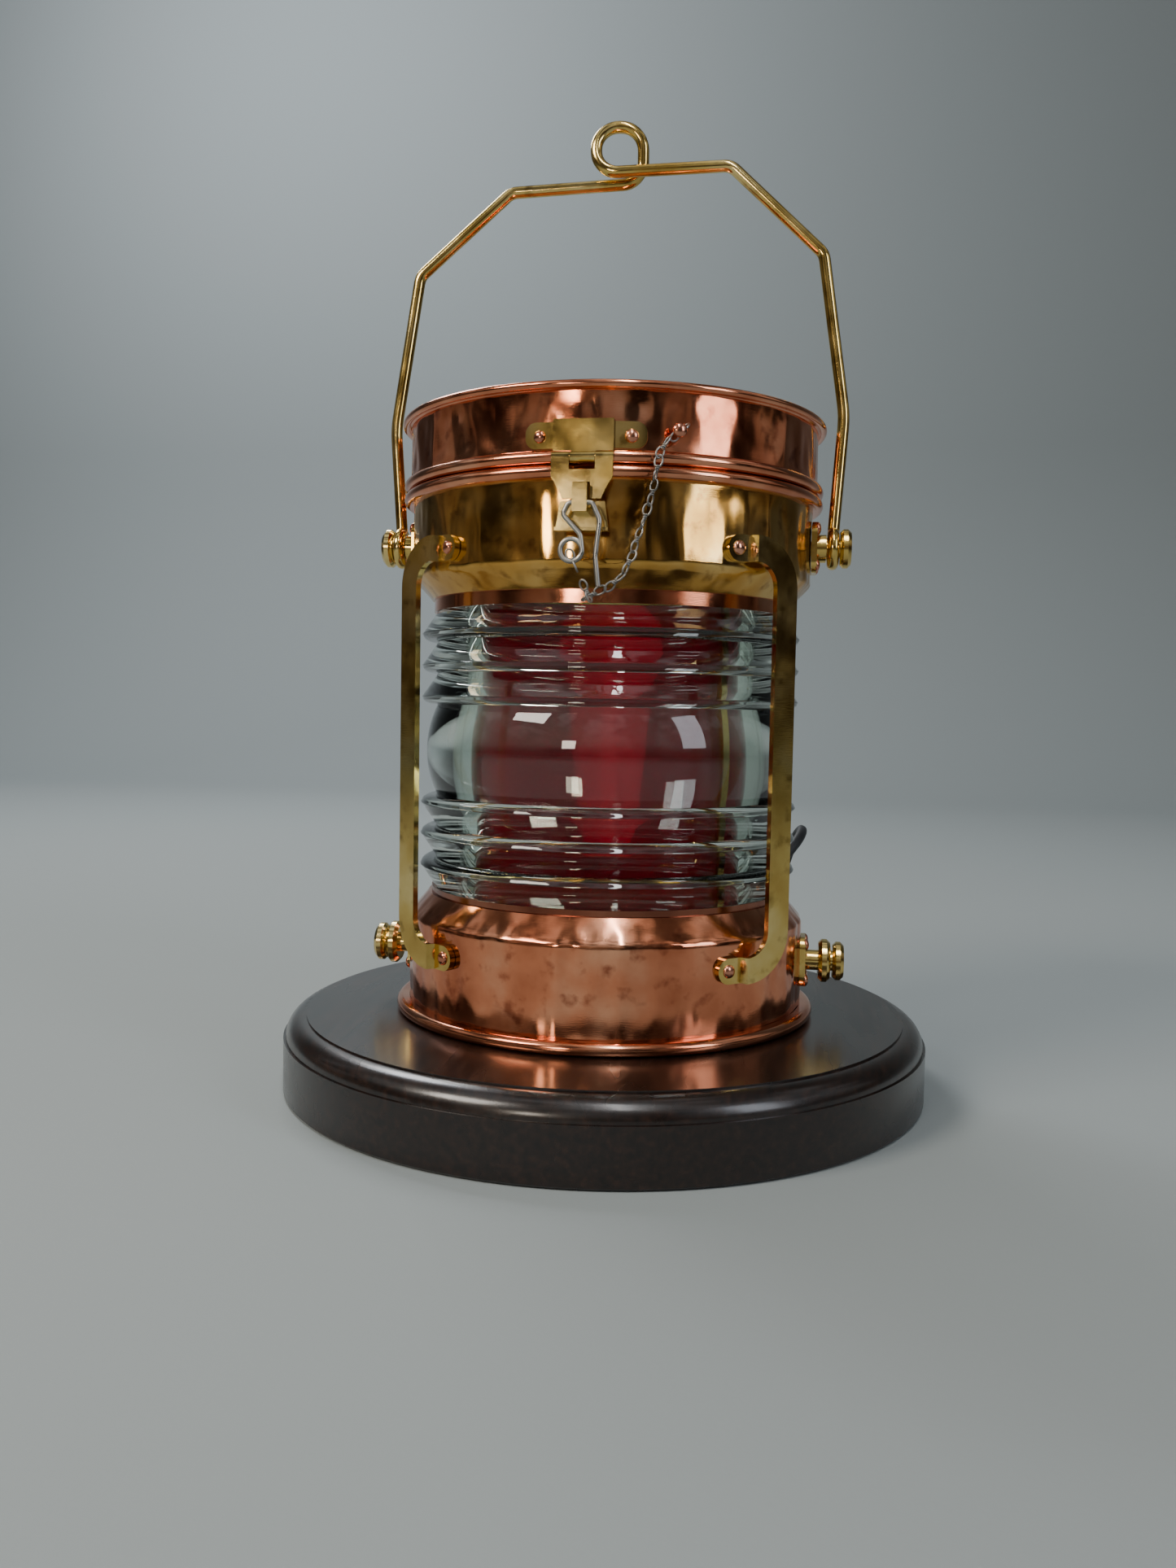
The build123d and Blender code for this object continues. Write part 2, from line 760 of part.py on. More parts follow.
# ------------------------------------------------------------------ hasp on the lid's front
hasp_half = 14.25
hasp_ear_half = 28.5
bracket_low = lid_wall_z + 0.5
bracket_height = 12.2
bracket_thickness = 1.8
bracket_face = bead_radius + 3.8
bridge_half = 14.0
bridge_low = split_z + 4.8
knuckle_radius = 2.6
hasp_pin_radius = 1.2
hasp_pivot_y = -bead_radius - 4.4
hasp_pivot_z = split_z + 1.7
knuckle_half = 5.7
side_play = 0.3
flap_thickness = 1.8
flap_waist_half = 9.0
flap_shoulder_z = split_z - 7.4
flap_low_z = split_z - 17.3
slot_half = 3.9
slot_top_z = split_z - 9.7
notch_low_z = split_z - 4.1
ear_rivet_x = 21.5
ear_rivet_z = split_z + 12.7
bracket_top = bracket_low + bracket_height
lid_core = ring(lid_radius, 0, lid_z, rim_z)

ear_outer = lid_radius + bracket_thickness
ear_blank = ring(ear_outer, lid_radius, bracket_low, bracket_top)
with BuildPart() as ear_window:
    with BuildSketch(Plane.XZ.offset(60)):
        with Locations((0, (bracket_low + bracket_top) / 2)):
            RectangleRounded(2 * hasp_ear_half, bracket_height, 5)
    extrude(amount=80)
hasp_bracket = ear_blank & ear_window.part
bridge = block(-bridge_half, bridge_half, -bracket_face, -foot_in, bridge_low, bracket_top)
bridge -= lid_core
bridge -= ring(bead_radius + 0.4, 0, 0, lid_wall_z + 0.4)
hasp_bracket += bridge
tongue_back = -bracket_face + 2.0
tongue_top = bridge_low + 1.0
hasp_bracket += block(
    -knuckle_half, knuckle_half, -bracket_face, tongue_back, hasp_pivot_z, tongue_top
)
hasp_bracket += x_round(knuckle_radius, -knuckle_half, knuckle_half, hasp_pivot_y, hasp_pivot_z)
hasp_bracket -= x_round(hasp_pin_radius, -hasp_half, hasp_half, hasp_pivot_y, hasp_pivot_z)
lid_holes = []
lid_rivet_list = []
for x in (-ear_rivet_x, ear_rivet_x):
    angle = degrees(atan2(x, sqrt(ear_outer**2 - x**2)))
    seat = radial_plane(angle, ear_outer, ear_rivet_z)
    tool = drill(seat, rivet_shank + rivet_hole_fit, 6)
    hasp_bracket -= tool
    lid_holes.append(tool)
    lid_rivet_list.append(rivet(seat, bracket_thickness + sheet + tail_gap))
save(hasp_bracket, "hasp_bracket")
save(x_round(hasp_pin_radius, -hasp_half, hasp_half, hasp_pivot_y, hasp_pivot_z), "hasp_hinge_pin")

flap_face_y = hasp_pivot_y - knuckle_radius
with BuildPart() as hasp_flap:
    with BuildSketch(Plane.XZ.offset(-flap_face_y - flap_thickness)):
        with BuildLine():
            top = hasp_pivot_z
            Line((-hasp_half, top), (hasp_half, top))
            for side in (1, -1):
                shoulder = (hasp_half * side, flap_shoulder_z)
                curve = ((flap_waist_half + 2.0) * side, flap_shoulder_z - 5.5)
                waist = (flap_waist_half * side, flap_low_z)
                Line((hasp_half * side, top), shoulder)
                ThreePointArc(shoulder, curve, waist)
            Line((-flap_waist_half, flap_low_z), (flap_waist_half, flap_low_z))
        make_face()
        with Locations((0, (flap_low_z + slot_top_z) / 2 - 1)):
            Rectangle(2 * slot_half, slot_top_z - flap_low_z + 2, mode=Mode.SUBTRACT)
        with Locations((0, notch_low_z + 10)):
            Rectangle(2 * (knuckle_half + side_play), 20, mode=Mode.SUBTRACT)
    extrude(amount=flap_thickness)
flap = hasp_flap.part
barrel_start = knuckle_half + side_play
for low, high in ((-hasp_half, -barrel_start), (barrel_start, hasp_half)):
    flap += x_round(knuckle_radius, low, high, hasp_pivot_y, hasp_pivot_z)
flap_bore = hasp_pin_radius + running_fit
flap -= x_round(flap_bore, -hasp_half, hasp_half, hasp_pivot_y, hasp_pivot_z)
save(flap, "hasp_flap")

# ------------------------------------------------------------------ staple on the body, hitch pin
staple_top_z = split_z - 17.9
staple_low_z = split_z - 31.5
staple_top_half = 10.4
staple_low_half = 12.4
staple_plate_y = -bead_radius - 3.4
staple_thickness = 1.8
lip_reach = 3.0
lip_thickness = 1.5
post_half = 3.4
riser_half = 6.0
post_reach_y = -bead_radius - 13.4
post_top_z = split_z - 11.1
post_low_z = split_z - 23.9
pin_y = -bead_radius - 10.7
pin_z = split_z - 19.7
pin_wire = 1.2
pin_hole = pin_wire + running_fit
body_core = ring(body_radius, 0, base_z, split_z)
with BuildPart() as staple_plate:
    with BuildSketch(Plane.XZ.offset(-staple_plate_y - staple_thickness)):
        with BuildLine():
            Polyline(
                (-staple_low_half, staple_low_z),
                (staple_low_half, staple_low_z),
                (staple_top_half, staple_top_z),
                (-staple_top_half, staple_top_z),
                close=True,
            )
        make_face()
    extrude(amount=staple_thickness)
staple = staple_plate.part
lip_y = staple_plate_y - lip_reach
inside_y = staple_plate_y + 1.0
lip_low_z = staple_low_z - 0.1
lip_top_z = staple_low_z + lip_thickness
riser = block(-riser_half, riser_half, inside_y, -foot_in, staple_low_z + 1, staple_top_z - 1)
staple += block(-staple_low_half, staple_low_half, lip_y, inside_y, lip_low_z, lip_top_z)
staple += riser - body_core
staple += block(-post_half, post_half, post_reach_y, inside_y, post_low_z, post_top_z)
staple -= x_round(pin_hole, -10, 10, pin_y, pin_z)
save(staple, "hasp_staple")

eye_x = -3.7
eye_z = pin_z - 21.3
eye_loop = 5.0
pin_points = [
    (9.0, pin_z - 37.6),
    (7.4, pin_z - 24.2),
    (9.2, pin_z - 7.7),
    (5.6, pin_z),
    (-5.2, pin_z),
    (-7.8, pin_z - 5.2),
    (0.4, pin_z - 14.2),
    (eye_x + eye_loop, eye_z),
]
with BuildPart() as hitch_pin:
    with BuildLine() as pin_path:
        FilletPolyline(*[(x, pin_y, z) for x, z in pin_points], radius=[9, 6, 2.2, 2.2, 2.4, 5])
    with BuildSketch(Plane(origin=pin_path.line @ 0, z_dir=pin_path.line % 0)):
        Circle(pin_wire)
    sweep(path=pin_path.line)
with BuildPart() as pin_eye:
    with BuildSketch(Plane.XY.offset(eye_z)):
        with Locations((eye_x + eye_loop, pin_y)):
            Circle(pin_wire)
    revolve(axis=Axis((eye_x, pin_y, eye_z), (0, 1, 0)))
save(hitch_pin.part + pin_eye.part, "hitch_pin")

# ------------------------------------------------------------------ chain of oval links
link_wire = 0.65
link_width = 5.4
chain_angle = 22.0
chain_z = split_z + 15.6
chain_route = [
    (chain_angle + 0.4, bead_radius - 0.6, chain_z + 0.9),
    (16.6, bead_radius + 3.8, chain_z - 9.5),
    (16.4, bead_radius + 5.0, chain_z - 23.0),
    (14.8, bead_radius + 3.8, chain_z - 36.0),
    (12.7, bead_radius + 3.8, chain_z - 49.0),
    (10.6, bead_radius + 5.8, chain_z - 61.5),
    (7.6, bead_radius + 8.3, chain_z - 70.7),
]
end_route = [
    (eye_x + 1.0, pin_y, eye_z - eye_loop + 1.2),
    (eye_x + 4.6, pin_y + 0.4, eye_z - 16.9),
]


def link(start, end, twist):
    """One oval wire link that reaches from one joint of the chain to the next."""
    along = (end - start).normalized()
    middle = (start + end) * 0.5
    across = along.cross(Vector(0, -1, 0)).normalized()
    face_out = across.cross(along).normalized()
    normal = face_out * cos(radians(twist)) + across * sin(radians(twist))
    frame = Plane(origin=middle, x_dir=along, z_dir=normal)
    half_run = (end - start).length / 2 + link_wire * 1.4
    bend = link_width / 2 - link_wire
    with BuildPart() as made:
        with BuildLine(frame) as oval:
            Line((-half_run + bend, bend), (half_run - bend, bend))
            ThreePointArc((half_run - bend, bend), (half_run, 0), (half_run - bend, -bend))
            Line((half_run - bend, -bend), (-half_run + bend, -bend))
            ThreePointArc((-half_run + bend, -bend), (-half_run, 0), (-half_run + bend, bend))
        with BuildSketch(Plane(origin=oval.line @ 0, z_dir=oval.line % 0)):
            Circle(link_wire)
        sweep(path=oval.line)
    return made.part


def chain_point(angle, radius, z):
    """A point at an angle from the front, in the lantern's frame."""
    return Vector(radius * sin(radians(angle)), -radius * cos(radians(angle)), z)


chain_stops = [chain_point(*stop) for stop in chain_route]
chain_links = []
for count in range(len(chain_stops) - 1):
    twist = 0 if count % 2 == 0 else 90
    chain_links.append(link(chain_stops[count], chain_stops[count + 1], twist))
save(Part(children=chain_links), "chain")
end_stops = [Vector(*stop) for stop in end_route]
save(link(end_stops[0], end_stops[1], 90), "pin_chain_link")

chain_seat = radial_plane(chain_angle, lid_radius, chain_z)
chain_shank = 1.1
chain_stand = 5.8
with BuildPart() as chain_rivet:
    with BuildSketch(chain_seat):
        Circle(chain_shank)
    extrude(amount=chain_stand)
    with BuildSketch(chain_seat.offset(chain_stand)):
        Circle(rivet_head * 0.85)
    extrude(amount=1.4, taper=25)
    with BuildSketch(chain_seat):
        Circle(rivet_shank)
    extrude(amount=-sheet - tail_gap)
    with BuildSketch(chain_seat.offset(-sheet - tail_gap)):
        Circle(rivet_head * 0.7)
    extrude(amount=-0.8)
save(chain_rivet.part, "chain_rivet")
lid_holes.append(drill(chain_seat, rivet_shank + rivet_hole_fit, 6))

# ------------------------------------------------------------------ rear hinge of the lid
hinge_y = bead_radius + 5.2
hinge_z = split_z + lid_clearance / 2
hinge_knuckle = 4.0
hinge_pin_radius = 2.0
hinge_half = 18.0
hinge_leaf = 2.2
body_knuckle_half = 7.0
hinge_play = 0.3
leaf_reach = 19.0
leaf_back = body_radius - 10.0
arm_back = hinge_y + hinge_knuckle
front_face = hinge_y - hinge_knuckle
body_leaf_points = [
    (leaf_back, bead_z - leaf_reach),
    (body_radius + hinge_leaf, bead_z - leaf_reach),
    (body_radius + hinge_leaf, bead_z - 8),
    (arm_back, bead_z - 0.5),
    (arm_back, hinge_z),
    (front_face, hinge_z),
    (front_face, bead_z - 1.0),
    (body_radius - 1, bead_z - 5),
    (leaf_back, bead_z - 5),
]
body_leaf = side_profile(body_leaf_points, -body_knuckle_half, body_knuckle_half)
plate_low = bead_z - leaf_reach
plate_top = bead_z - 7
body_face = body_radius + hinge_leaf
body_leaf += block(-hinge_half, hinge_half, leaf_back, body_face, plate_low, plate_top)
body_leaf += x_round(hinge_knuckle, -body_knuckle_half, body_knuckle_half, hinge_y, hinge_z)
body_leaf -= x_round(hinge_pin_radius + running_fit, -hinge_half, hinge_half, hinge_y, hinge_z)
body_leaf -= body_core

lid_leaf_points = [
    (leaf_back, lid_wall_z + leaf_reach),
    (lid_radius + hinge_leaf, lid_wall_z + leaf_reach),
    (lid_radius + hinge_leaf, lid_wall_z + 7.5),
    (arm_back, lid_wall_z + 0.5),
    (arm_back, hinge_z),
    (front_face, hinge_z),
    (front_face, lid_wall_z + 1.0),
    (lid_radius - 1, lid_wall_z + 4.5),
    (leaf_back, lid_wall_z + 4.5),
]
arm_low = body_knuckle_half + hinge_play
lid_face = lid_radius + hinge_leaf
lid_plate_low = lid_wall_z + 6.5
lid_plate_top = lid_wall_z + leaf_reach
lid_leaf = block(-hinge_half, hinge_half, leaf_back, lid_face, lid_plate_low, lid_plate_top)
for side in (1, -1):
    low, high = sorted((arm_low * side, hinge_half * side))
    lid_leaf += side_profile(lid_leaf_points, low, high)
    lid_leaf += x_round(hinge_knuckle, low, high, hinge_y, hinge_z)
lid_leaf -= x_round(hinge_pin_radius, -hinge_half, hinge_half, hinge_y, hinge_z)
lid_leaf -= lid_core

hinge_rivet_x = 12.5
for x in (-hinge_rivet_x, 0, hinge_rivet_x):
    lid_seat = Plane(origin=(x, lid_radius + hinge_leaf, lid_wall_z + 13), z_dir=(0, 1, 0))
    body_seat = Plane(origin=(x, body_radius + hinge_leaf, bead_z - 14), z_dir=(0, 1, 0))
    for seat, heap, holes in (
        (body_seat, body_rivet_list, body_holes),
        (lid_seat, lid_rivet_list, lid_holes),
    ):
        tool = drill(seat, rivet_shank + rivet_hole_fit, 9)
        body_leaf -= tool
        lid_leaf -= tool
        holes.append(tool)
        heap.append(rivet(seat, hinge_leaf + sheet + 1.2 + tail_gap))
save(body_leaf, "hinge_body_leaf")
save(lid_leaf, "hinge_lid_leaf")
save(x_round(hinge_pin_radius, -hinge_half, hinge_half, hinge_y, hinge_z), "hinge_pin")
save(Part(children=body_rivet_list), "body_rivets")
save(Part(children=lid_rivet_list), "lid_rivets")

# ------------------------------------------------------------------ cord, gland and plug
cord_radius = 3.2
gland_angle = 127.0
gland_tilt = 41.0
gland_radius = (base_radius + shoulder_radius) / 2
gland_z = (base_top_z + neck_z) / 2
gland_nut_radius = 8.2
gland_stem_radius = 5.5
boot_start = 5.0
boot_length = 20.0
boot_base = 7.6
boot_tip = 5.0
boot_ribs = 5
gland_inner = -17.0
gland_level = radial_plane(gland_angle, gland_radius, gland_z)
tilt = radians(gland_tilt)
gland_axis = gland_level.z_dir * cos(tilt) + Vector(0, 0, sin(tilt))
gland_plane = Plane(origin=gland_level.origin, x_dir=gland_level.x_dir, z_dir=gland_axis)


def along_gland(radius, reach, amount):
    """A round piece on the gland's axis, measured outwards from the drum's shoulder."""
    with BuildPart() as made:
        with BuildSketch(gland_plane.offset(reach)):
            Circle(radius)
        extrude(amount=amount)
    return made.part


base_line_outer = turned([(0, base_z)] + drum_line + [(0, neck_z)])
gland_bore = along_gland(cord_radius, gland_inner - 5, boot_start + boot_length + 10 - gland_inner)
gland_stem = along_gland(gland_stem_radius, gland_inner, boot_start - gland_inner)
gland_collar = along_gland(gland_nut_radius, -2, boot_start + 2) - base_line_outer
cord_gland = gland_collar + gland_stem - gland_bore
gland_nut_inner = along_gland(gland_nut_radius - 1, gland_inner + 5, 4)
save(cord_gland + gland_nut_inner - gland_bore, "cord_gland")
boot_end = boot_start + boot_length
with BuildPart() as boot:
    with BuildSketch(gland_plane.offset(boot_start)):
        Circle(boot_base)
    with BuildSketch(gland_plane.offset(boot_end)):
        Circle(boot_tip)
    loft()
rib_step = boot_length / (boot_ribs + 1)
strain_boot = boot.part
for count in range(1, boot_ribs + 1):
    reach = boot_start + rib_step * count
    size = boot_base + (boot_tip - boot_base) * count / (boot_ribs + 1)
    with BuildPart() as groove:
        with BuildSketch(gland_plane.offset(reach - rib_step * 0.2)):
            Circle(size + 2)
            Circle(size - 1.1, mode=Mode.SUBTRACT)
        extrude(amount=rib_step * 0.4)
    strain_boot -= groove.part
strain_boot -= gland_bore
save(strain_boot, "strain_relief_boot")

cord_exit = gland_plane.origin + gland_axis * boot_end
coil_centre = Vector(2.0, plinth_radius + 61.0, 0)
coil_mean = 35.0
coil_band = 19.2
coil_height = 18.4
coil_outer = coil_mean + coil_band / 2
cord_route = [
    cord_exit - gland_axis * 30,
    cord_exit + gland_axis * 19,
    cord_exit + Vector(14.0, 46.0, 17.0),
    cord_exit + Vector(8.0, 70.0, 4.0),
    cord_exit + Vector(2.0, 84.0, -20.0),
    Vector(cord_exit.X - 3.3, plinth_radius - 3.0, plinth_height + 21.5),
    Vector(coil_centre.X + 88.0, plinth_radius + 15.0, plinth_height - 8.5),
    Vector(coil_centre.X + 76.0, plinth_radius + 33.0, 10.0),
    Vector(coil_centre.X + 60.0, plinth_radius + 53.0, cord_radius),
    Vector(coil_centre.X + 42.0, plinth_radius + 71.0, cord_radius),
]


def bend_radii(points):
    """The largest fair arc at each corner: 0.45 of the shorter run over tan(half the turn)."""
    radii = []
    for before, here, after in zip(points, points[1:], points[2:]):
        into = here - before
        out = after - here
        turn = radians(into.get_angle(out))
        radii.append(0.45 * min(into.length, out.length) / tan(turn / 2))
    return radii


cord_bends = bend_radii(cord_route)
print("cord bends", [round(value, 1) for value in cord_bends])
with BuildPart() as cord_run:
    with BuildLine() as cord_path:
        FilletPolyline(*cord_route, radius=cord_bends)
    with BuildSketch(Plane(origin=cord_path.line @ 0, z_dir=cord_path.line % 0)):
        Circle(cord_radius)
    sweep(path=cord_path.line)
cord_length = sum(edge.length for edge in cord_path.edges())
cord_volume = pi * cord_radius**2 * cord_length
print("cord run", round(cord_length, 1), "volume ratio", cord_run.part.volume / cord_volume)
with BuildPart() as cord_coil:
    with BuildSketch(Plane.XY):
        with Locations((coil_centre.X, coil_centre.Y)):
            Circle(coil_outer)
            Circle(coil_outer - coil_band, mode=Mode.SUBTRACT)
    extrude(amount=coil_height)
save(cord_run.part - cord_coil.part, "cord_run")
save(cord_coil.part, "cord_coil")

plug_width = 26.0
plug_length = 34.0
plug_height = 15.0
plug_x = coil_centre.X + 12
plug_y = coil_centre.Y - coil_mean
blade_length = 16.0
blade_width = 6.35
blade_thickness = 1.5
blade_spread = 12.7
with BuildPart() as plug_body:
    with BuildSketch(Plane.XY.offset(coil_height)):
        with Locations((plug_x, plug_y)):
            RectangleRounded(plug_length, plug_width, 5)
    extrude(amount=plug_height)
    fillet(plug_body.faces().sort_by(Axis.Z)[-1].edges(), radius=3)
blade_x = plug_x + plug_length / 2
blade_z = coil_height + plug_height / 2
blades = []
for side in (1, -1):
    middle = plug_y + side * blade_spread / 2
    low_y = middle - blade_thickness / 2
    high_y = middle + blade_thickness / 2
    low_z = blade_z - blade_width / 2
    high_z = blade_z + blade_width / 2
    blades.append(block(blade_x, blade_x + blade_length, low_y, high_y, low_z, high_z))
save(plug_body.part, "plug_body")
save(Part(children=blades), "plug_blades")

lead_out = gland_level.z_dir
lead_start = gland_plane.origin + gland_axis * (gland_inner + 9)
lead_points = [
    lead_start,
    lead_start - gland_axis * 24,
    lead_out * 55 + Vector(0, 0, gland_z - 36),
    lead_out * 32 + Vector(0, 0, gland_z - 44),
    lead_out * 6.5 + Vector(0, 0, gland_z - 46),
]
lead_bends = bend_radii(lead_points)
print("lead bends", [round(value, 1) for value in lead_bends])
with BuildPart() as inner_lead:
    with BuildLine() as lead_path:
        FilletPolyline(*lead_points, radius=lead_bends)
    with BuildSketch(Plane(origin=lead_path.line @ 0, z_dir=lead_path.line % 0)):
        Circle(cord_radius)
    sweep(path=lead_path.line)
save(inner_lead.part, "inner_lead")
save(lamp_column - inner_lead.part, "lamp_column")

# ------------------------------------------------------------------ shells, drilled last
base_drum -= along_gland(gland_stem_radius, gland_inner, boot_start - gland_inner)
for tool in body_holes:
    base_drum -= tool
    upper_body -= tool
for tool in lid_holes:
    lid_drum -= tool
save(base_drum, "base_drum")
save(upper_body, "upper_body")
save(lid_drum, "lid_drum")
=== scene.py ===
# %% [markdown]
# A ship's anchor lantern of copper and brass, made over into a table lamp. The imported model
# gives every part its place and size in metres, with the floor at Z = 0, the lantern's axis
# on Z and the hasp at -Y. This lesson dresses it: the cord first, then the finishes, then
# each piece that deserves finer work than the plain solid.

from math import atan2, cos, pi, radians, sin, sqrt

import bmesh
import bpy
from mathutils import Matrix, Vector


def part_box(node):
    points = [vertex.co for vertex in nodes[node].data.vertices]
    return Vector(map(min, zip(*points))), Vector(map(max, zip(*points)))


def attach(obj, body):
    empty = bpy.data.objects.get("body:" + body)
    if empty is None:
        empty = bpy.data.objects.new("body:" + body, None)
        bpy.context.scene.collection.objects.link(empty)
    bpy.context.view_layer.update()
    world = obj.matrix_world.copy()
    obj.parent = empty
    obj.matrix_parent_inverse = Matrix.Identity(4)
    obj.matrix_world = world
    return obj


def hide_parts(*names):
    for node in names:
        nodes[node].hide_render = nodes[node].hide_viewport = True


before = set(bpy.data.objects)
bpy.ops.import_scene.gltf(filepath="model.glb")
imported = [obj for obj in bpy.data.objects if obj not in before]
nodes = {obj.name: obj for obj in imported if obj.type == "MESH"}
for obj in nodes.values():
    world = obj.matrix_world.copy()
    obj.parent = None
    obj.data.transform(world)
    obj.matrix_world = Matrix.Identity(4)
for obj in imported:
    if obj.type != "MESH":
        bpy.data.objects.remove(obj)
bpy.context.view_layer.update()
MM = 0.001

# %% [markdown]
# A product picture is taken a little above the middle of the lantern with a short lens, so
# the far rim of the lid shows as a thin ellipse. The camera is built from its place and the
# three directions of its body, which is easier to check than three angles.

# %% Camera
camera_data = bpy.data.cameras.new("camera")
camera_data.sensor_width = 36
camera_data.lens = 28.88
camera = bpy.data.objects.new("camera", camera_data)
bpy.context.scene.collection.objects.link(camera)
camera_right = Vector((0.99017, 0.13868, 0.01803))
camera_up = Vector((-0.02627, 0.05785, 0.99798))
camera_ahead = Vector((-0.13735, 0.98865, -0.06093))
turn = Matrix((camera_right, camera_up, -camera_ahead)).transposed()
camera.matrix_world = Matrix.Translation((0.08507, -0.69288, 0.20591)) @ turn.to_4x4()
bpy.context.scene.camera = camera
print("camera is", round(camera.location.length, 3), "m from the floor's centre")

# %% [markdown]
# The flex leaves a rubber boot on the shoulder of the base, arches over, and drops behind
# the plinth. What is spare is wound in a neat coil there. One smooth spline carries it all:
# its control points are the route's own points, and the turns of the coil are more of them.

# %% The route of the cord
CORD = 6.4
gland_out = Vector((sin(radians(127)), -cos(radians(127)), 0))
gland_axis = gland_out * cos(radians(41)) + Vector((0, 0, sin(radians(41))))
cord_exit = gland_out * 102.95 + Vector((0, 0, 99.05)) + gland_axis * 25
coil_centre = Vector((2, 236, 0))
route = [
    cord_exit,
    cord_exit + gland_axis * 19,
    cord_exit + Vector((14, 46, 17)),
    cord_exit + Vector((8, 70, 4)),
    cord_exit + Vector((2, 84, -20)),
    Vector((cord_exit.x - 3.3, 172, 62)),
    Vector((90, 190, 32)),
    Vector((78, 208, 10)),
    Vector((62, 228, 3.2)),
]
coil_rows = [(41.4, 3.2), (35.0, 3.2), (28.6, 3.2), (31.8, 8.8), (38.2, 8.8), (38.2, 15.2)]
turn_points = 16
for row, (radius, height) in enumerate(coil_rows):
    last_radius, last_height = coil_rows[max(row - 1, 0)]
    for step in range(turn_points):
        angle = 2 * pi * step / turn_points + radians(30)
        ease = min(step / 3, 1)
        reach = last_radius + (radius - last_radius) * ease
        level = last_height + (height - last_height) * ease
        route.append(coil_centre + Vector((reach * cos(angle), reach * sin(angle), level)))
for step in range(11):
    angle = 2 * pi * step / turn_points + radians(30)
    reach = 38.2 - 4.2 * min(step / 3, 1)
    climb = max(0, step - 5) * 2.1
    route.append(coil_centre + Vector((reach * cos(angle), reach * sin(angle), 15.2 + climb)))
route.append(Vector((-1, 201.3, 25.9)))
print("cord points", len(route))

# %% Cord spline
cord_curve = bpy.data.curves.new("flex", "CURVE")
cord_curve.dimensions = "3D"
cord_curve.bevel_depth = 1  # times each point's radius, which is the cord's own
cord_curve.bevel_resolution = 5
cord_curve.resolution_u = 4
cord_curve.use_fill_caps = True
line = cord_curve.splines.new("NURBS")
line.points.add(len(route) - 1)
for point, place in zip(line.points, route):
    point.co = (*(place * MM), 1)
    point.radius = CORD / 2 * MM
line.use_endpoint_u = True
line.order_u = 3
flex = bpy.data.objects.new("flex", cord_curve)
bpy.context.scene.collection.objects.link(flex)
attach(flex, "root")
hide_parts("cord_run", "cord_coil")
plain = cord_curve.copy()
plain.bevel_depth = 0
measure = bpy.data.objects.new("measure", plain)
measured = bpy.data.meshes.new_from_object(measure)
spots = [v.co for v in measured.vertices]
flex_length = sum((b - a).length for a, b in zip(spots, spots[1:]))
bpy.data.objects.remove(measure)
print("flex is", round(flex_length, 3), "m long")

# %% [markdown]
# Every finish starts from what the real one is. Colours are written as the hex values a
# paint chart would give, and one function turns them to the linear light that shaders use.
# A second small function adds one node with its settings and its links.

# %% Helpers for finishes
def paint(code):
    """A hex colour as linear red, green, blue and alpha."""
    values = [int(code[start:start + 2], 16) / 255 for start in (1, 3, 5)]
    return [v / 12.92 if v <= 0.04045 else ((v + 0.055) / 1.055) ** 2.4 for v in values] + [1]


def add(tree, kind, inputs=None, **settings):
    """Add one node with its settings, and give each named input a value or a link."""
    made = tree.nodes.new(kind)
    for name, value in settings.items():
        setattr(made, name, value)
    for name, value in (inputs or {}).items():
        if isinstance(value, bpy.types.NodeSocket):
            tree.links.new(value, made.inputs[name])
        else:
            made.inputs[name].default_value = value
    return made


def finish_named(name, **sockets):
    """A new material with one principled shader whose plain values are set on it."""
    made = bpy.data.materials.new(name)
    made.use_nodes = True
    made.node_tree.nodes.clear()
    shader = add(made.node_tree, "ShaderNodeBsdfPrincipled")
    add(made.node_tree, "ShaderNodeOutputMaterial", {"Surface": shader.outputs[0]})
    for socket, value in sockets.items():
        shader.inputs[socket.replace("_", " ")].default_value = value
    return made, made.node_tree, shader


def object_space(tree, stretch):
    """The object's own coordinates, with each direction stretched by a number."""
    place = add(tree, "ShaderNodeTexCoord")
    spread = {"Vector": place.outputs["Object"], "Scale": stretch}
    return add(tree, "ShaderNodeMapping", spread).outputs[0]


def cloud(tree, vector, size_mm, detail=3):
    """Noise with blots of a real size in millimetres."""
    facts = {"Vector": vector, "Scale": 1000 / size_mm, "Detail": detail}
    return add(tree, "ShaderNodeTexNoise", facts).outputs["Fac"]


def shades(tree, factor, *stops):
    """A ramp between hex colours, each given with its place from 0 to 1."""
    ramp = add(tree, "ShaderNodeValToRGB", {"Fac": factor})
    points = ramp.color_ramp.elements
    while len(points) < len(stops):
        points.new(0.5)
    for point, (place, code) in zip(points, stops):
        point.position = place
        point.color = paint(code)
    return ramp.outputs["Color"]


def levels(tree, factor, low, high, start=0.3, end=0.7):
    """Noise turned into a number between two values."""
    facts = {"Value": factor, "From Min": start, "From Max": end, "To Min": low, "To Max": high}
    return add(tree, "ShaderNodeMapRange", facts).outputs[0]


def relief(tree, height, depth_mm, under=None):
    """Bump of a real depth in millimetres, on top of another bump if one is given."""
    facts = {"Height": height, "Strength": 1.0, "Distance": depth_mm * MM}
    if under is not None:
        facts["Normal"] = under
    return add(tree, "ShaderNodeBump", facts).outputs[0]


# %% [markdown]
# The sheet metal is copper and a yellower bronze, both raised by hand: the planishing hammer
# leaves shallow upright dents, and the buffing wheel leaves soft, cloudy brightness with
# fine scratches round the drum. Polished metal is all reflection, so these finishes are
# mostly small changes of roughness and slope over one warm colour.

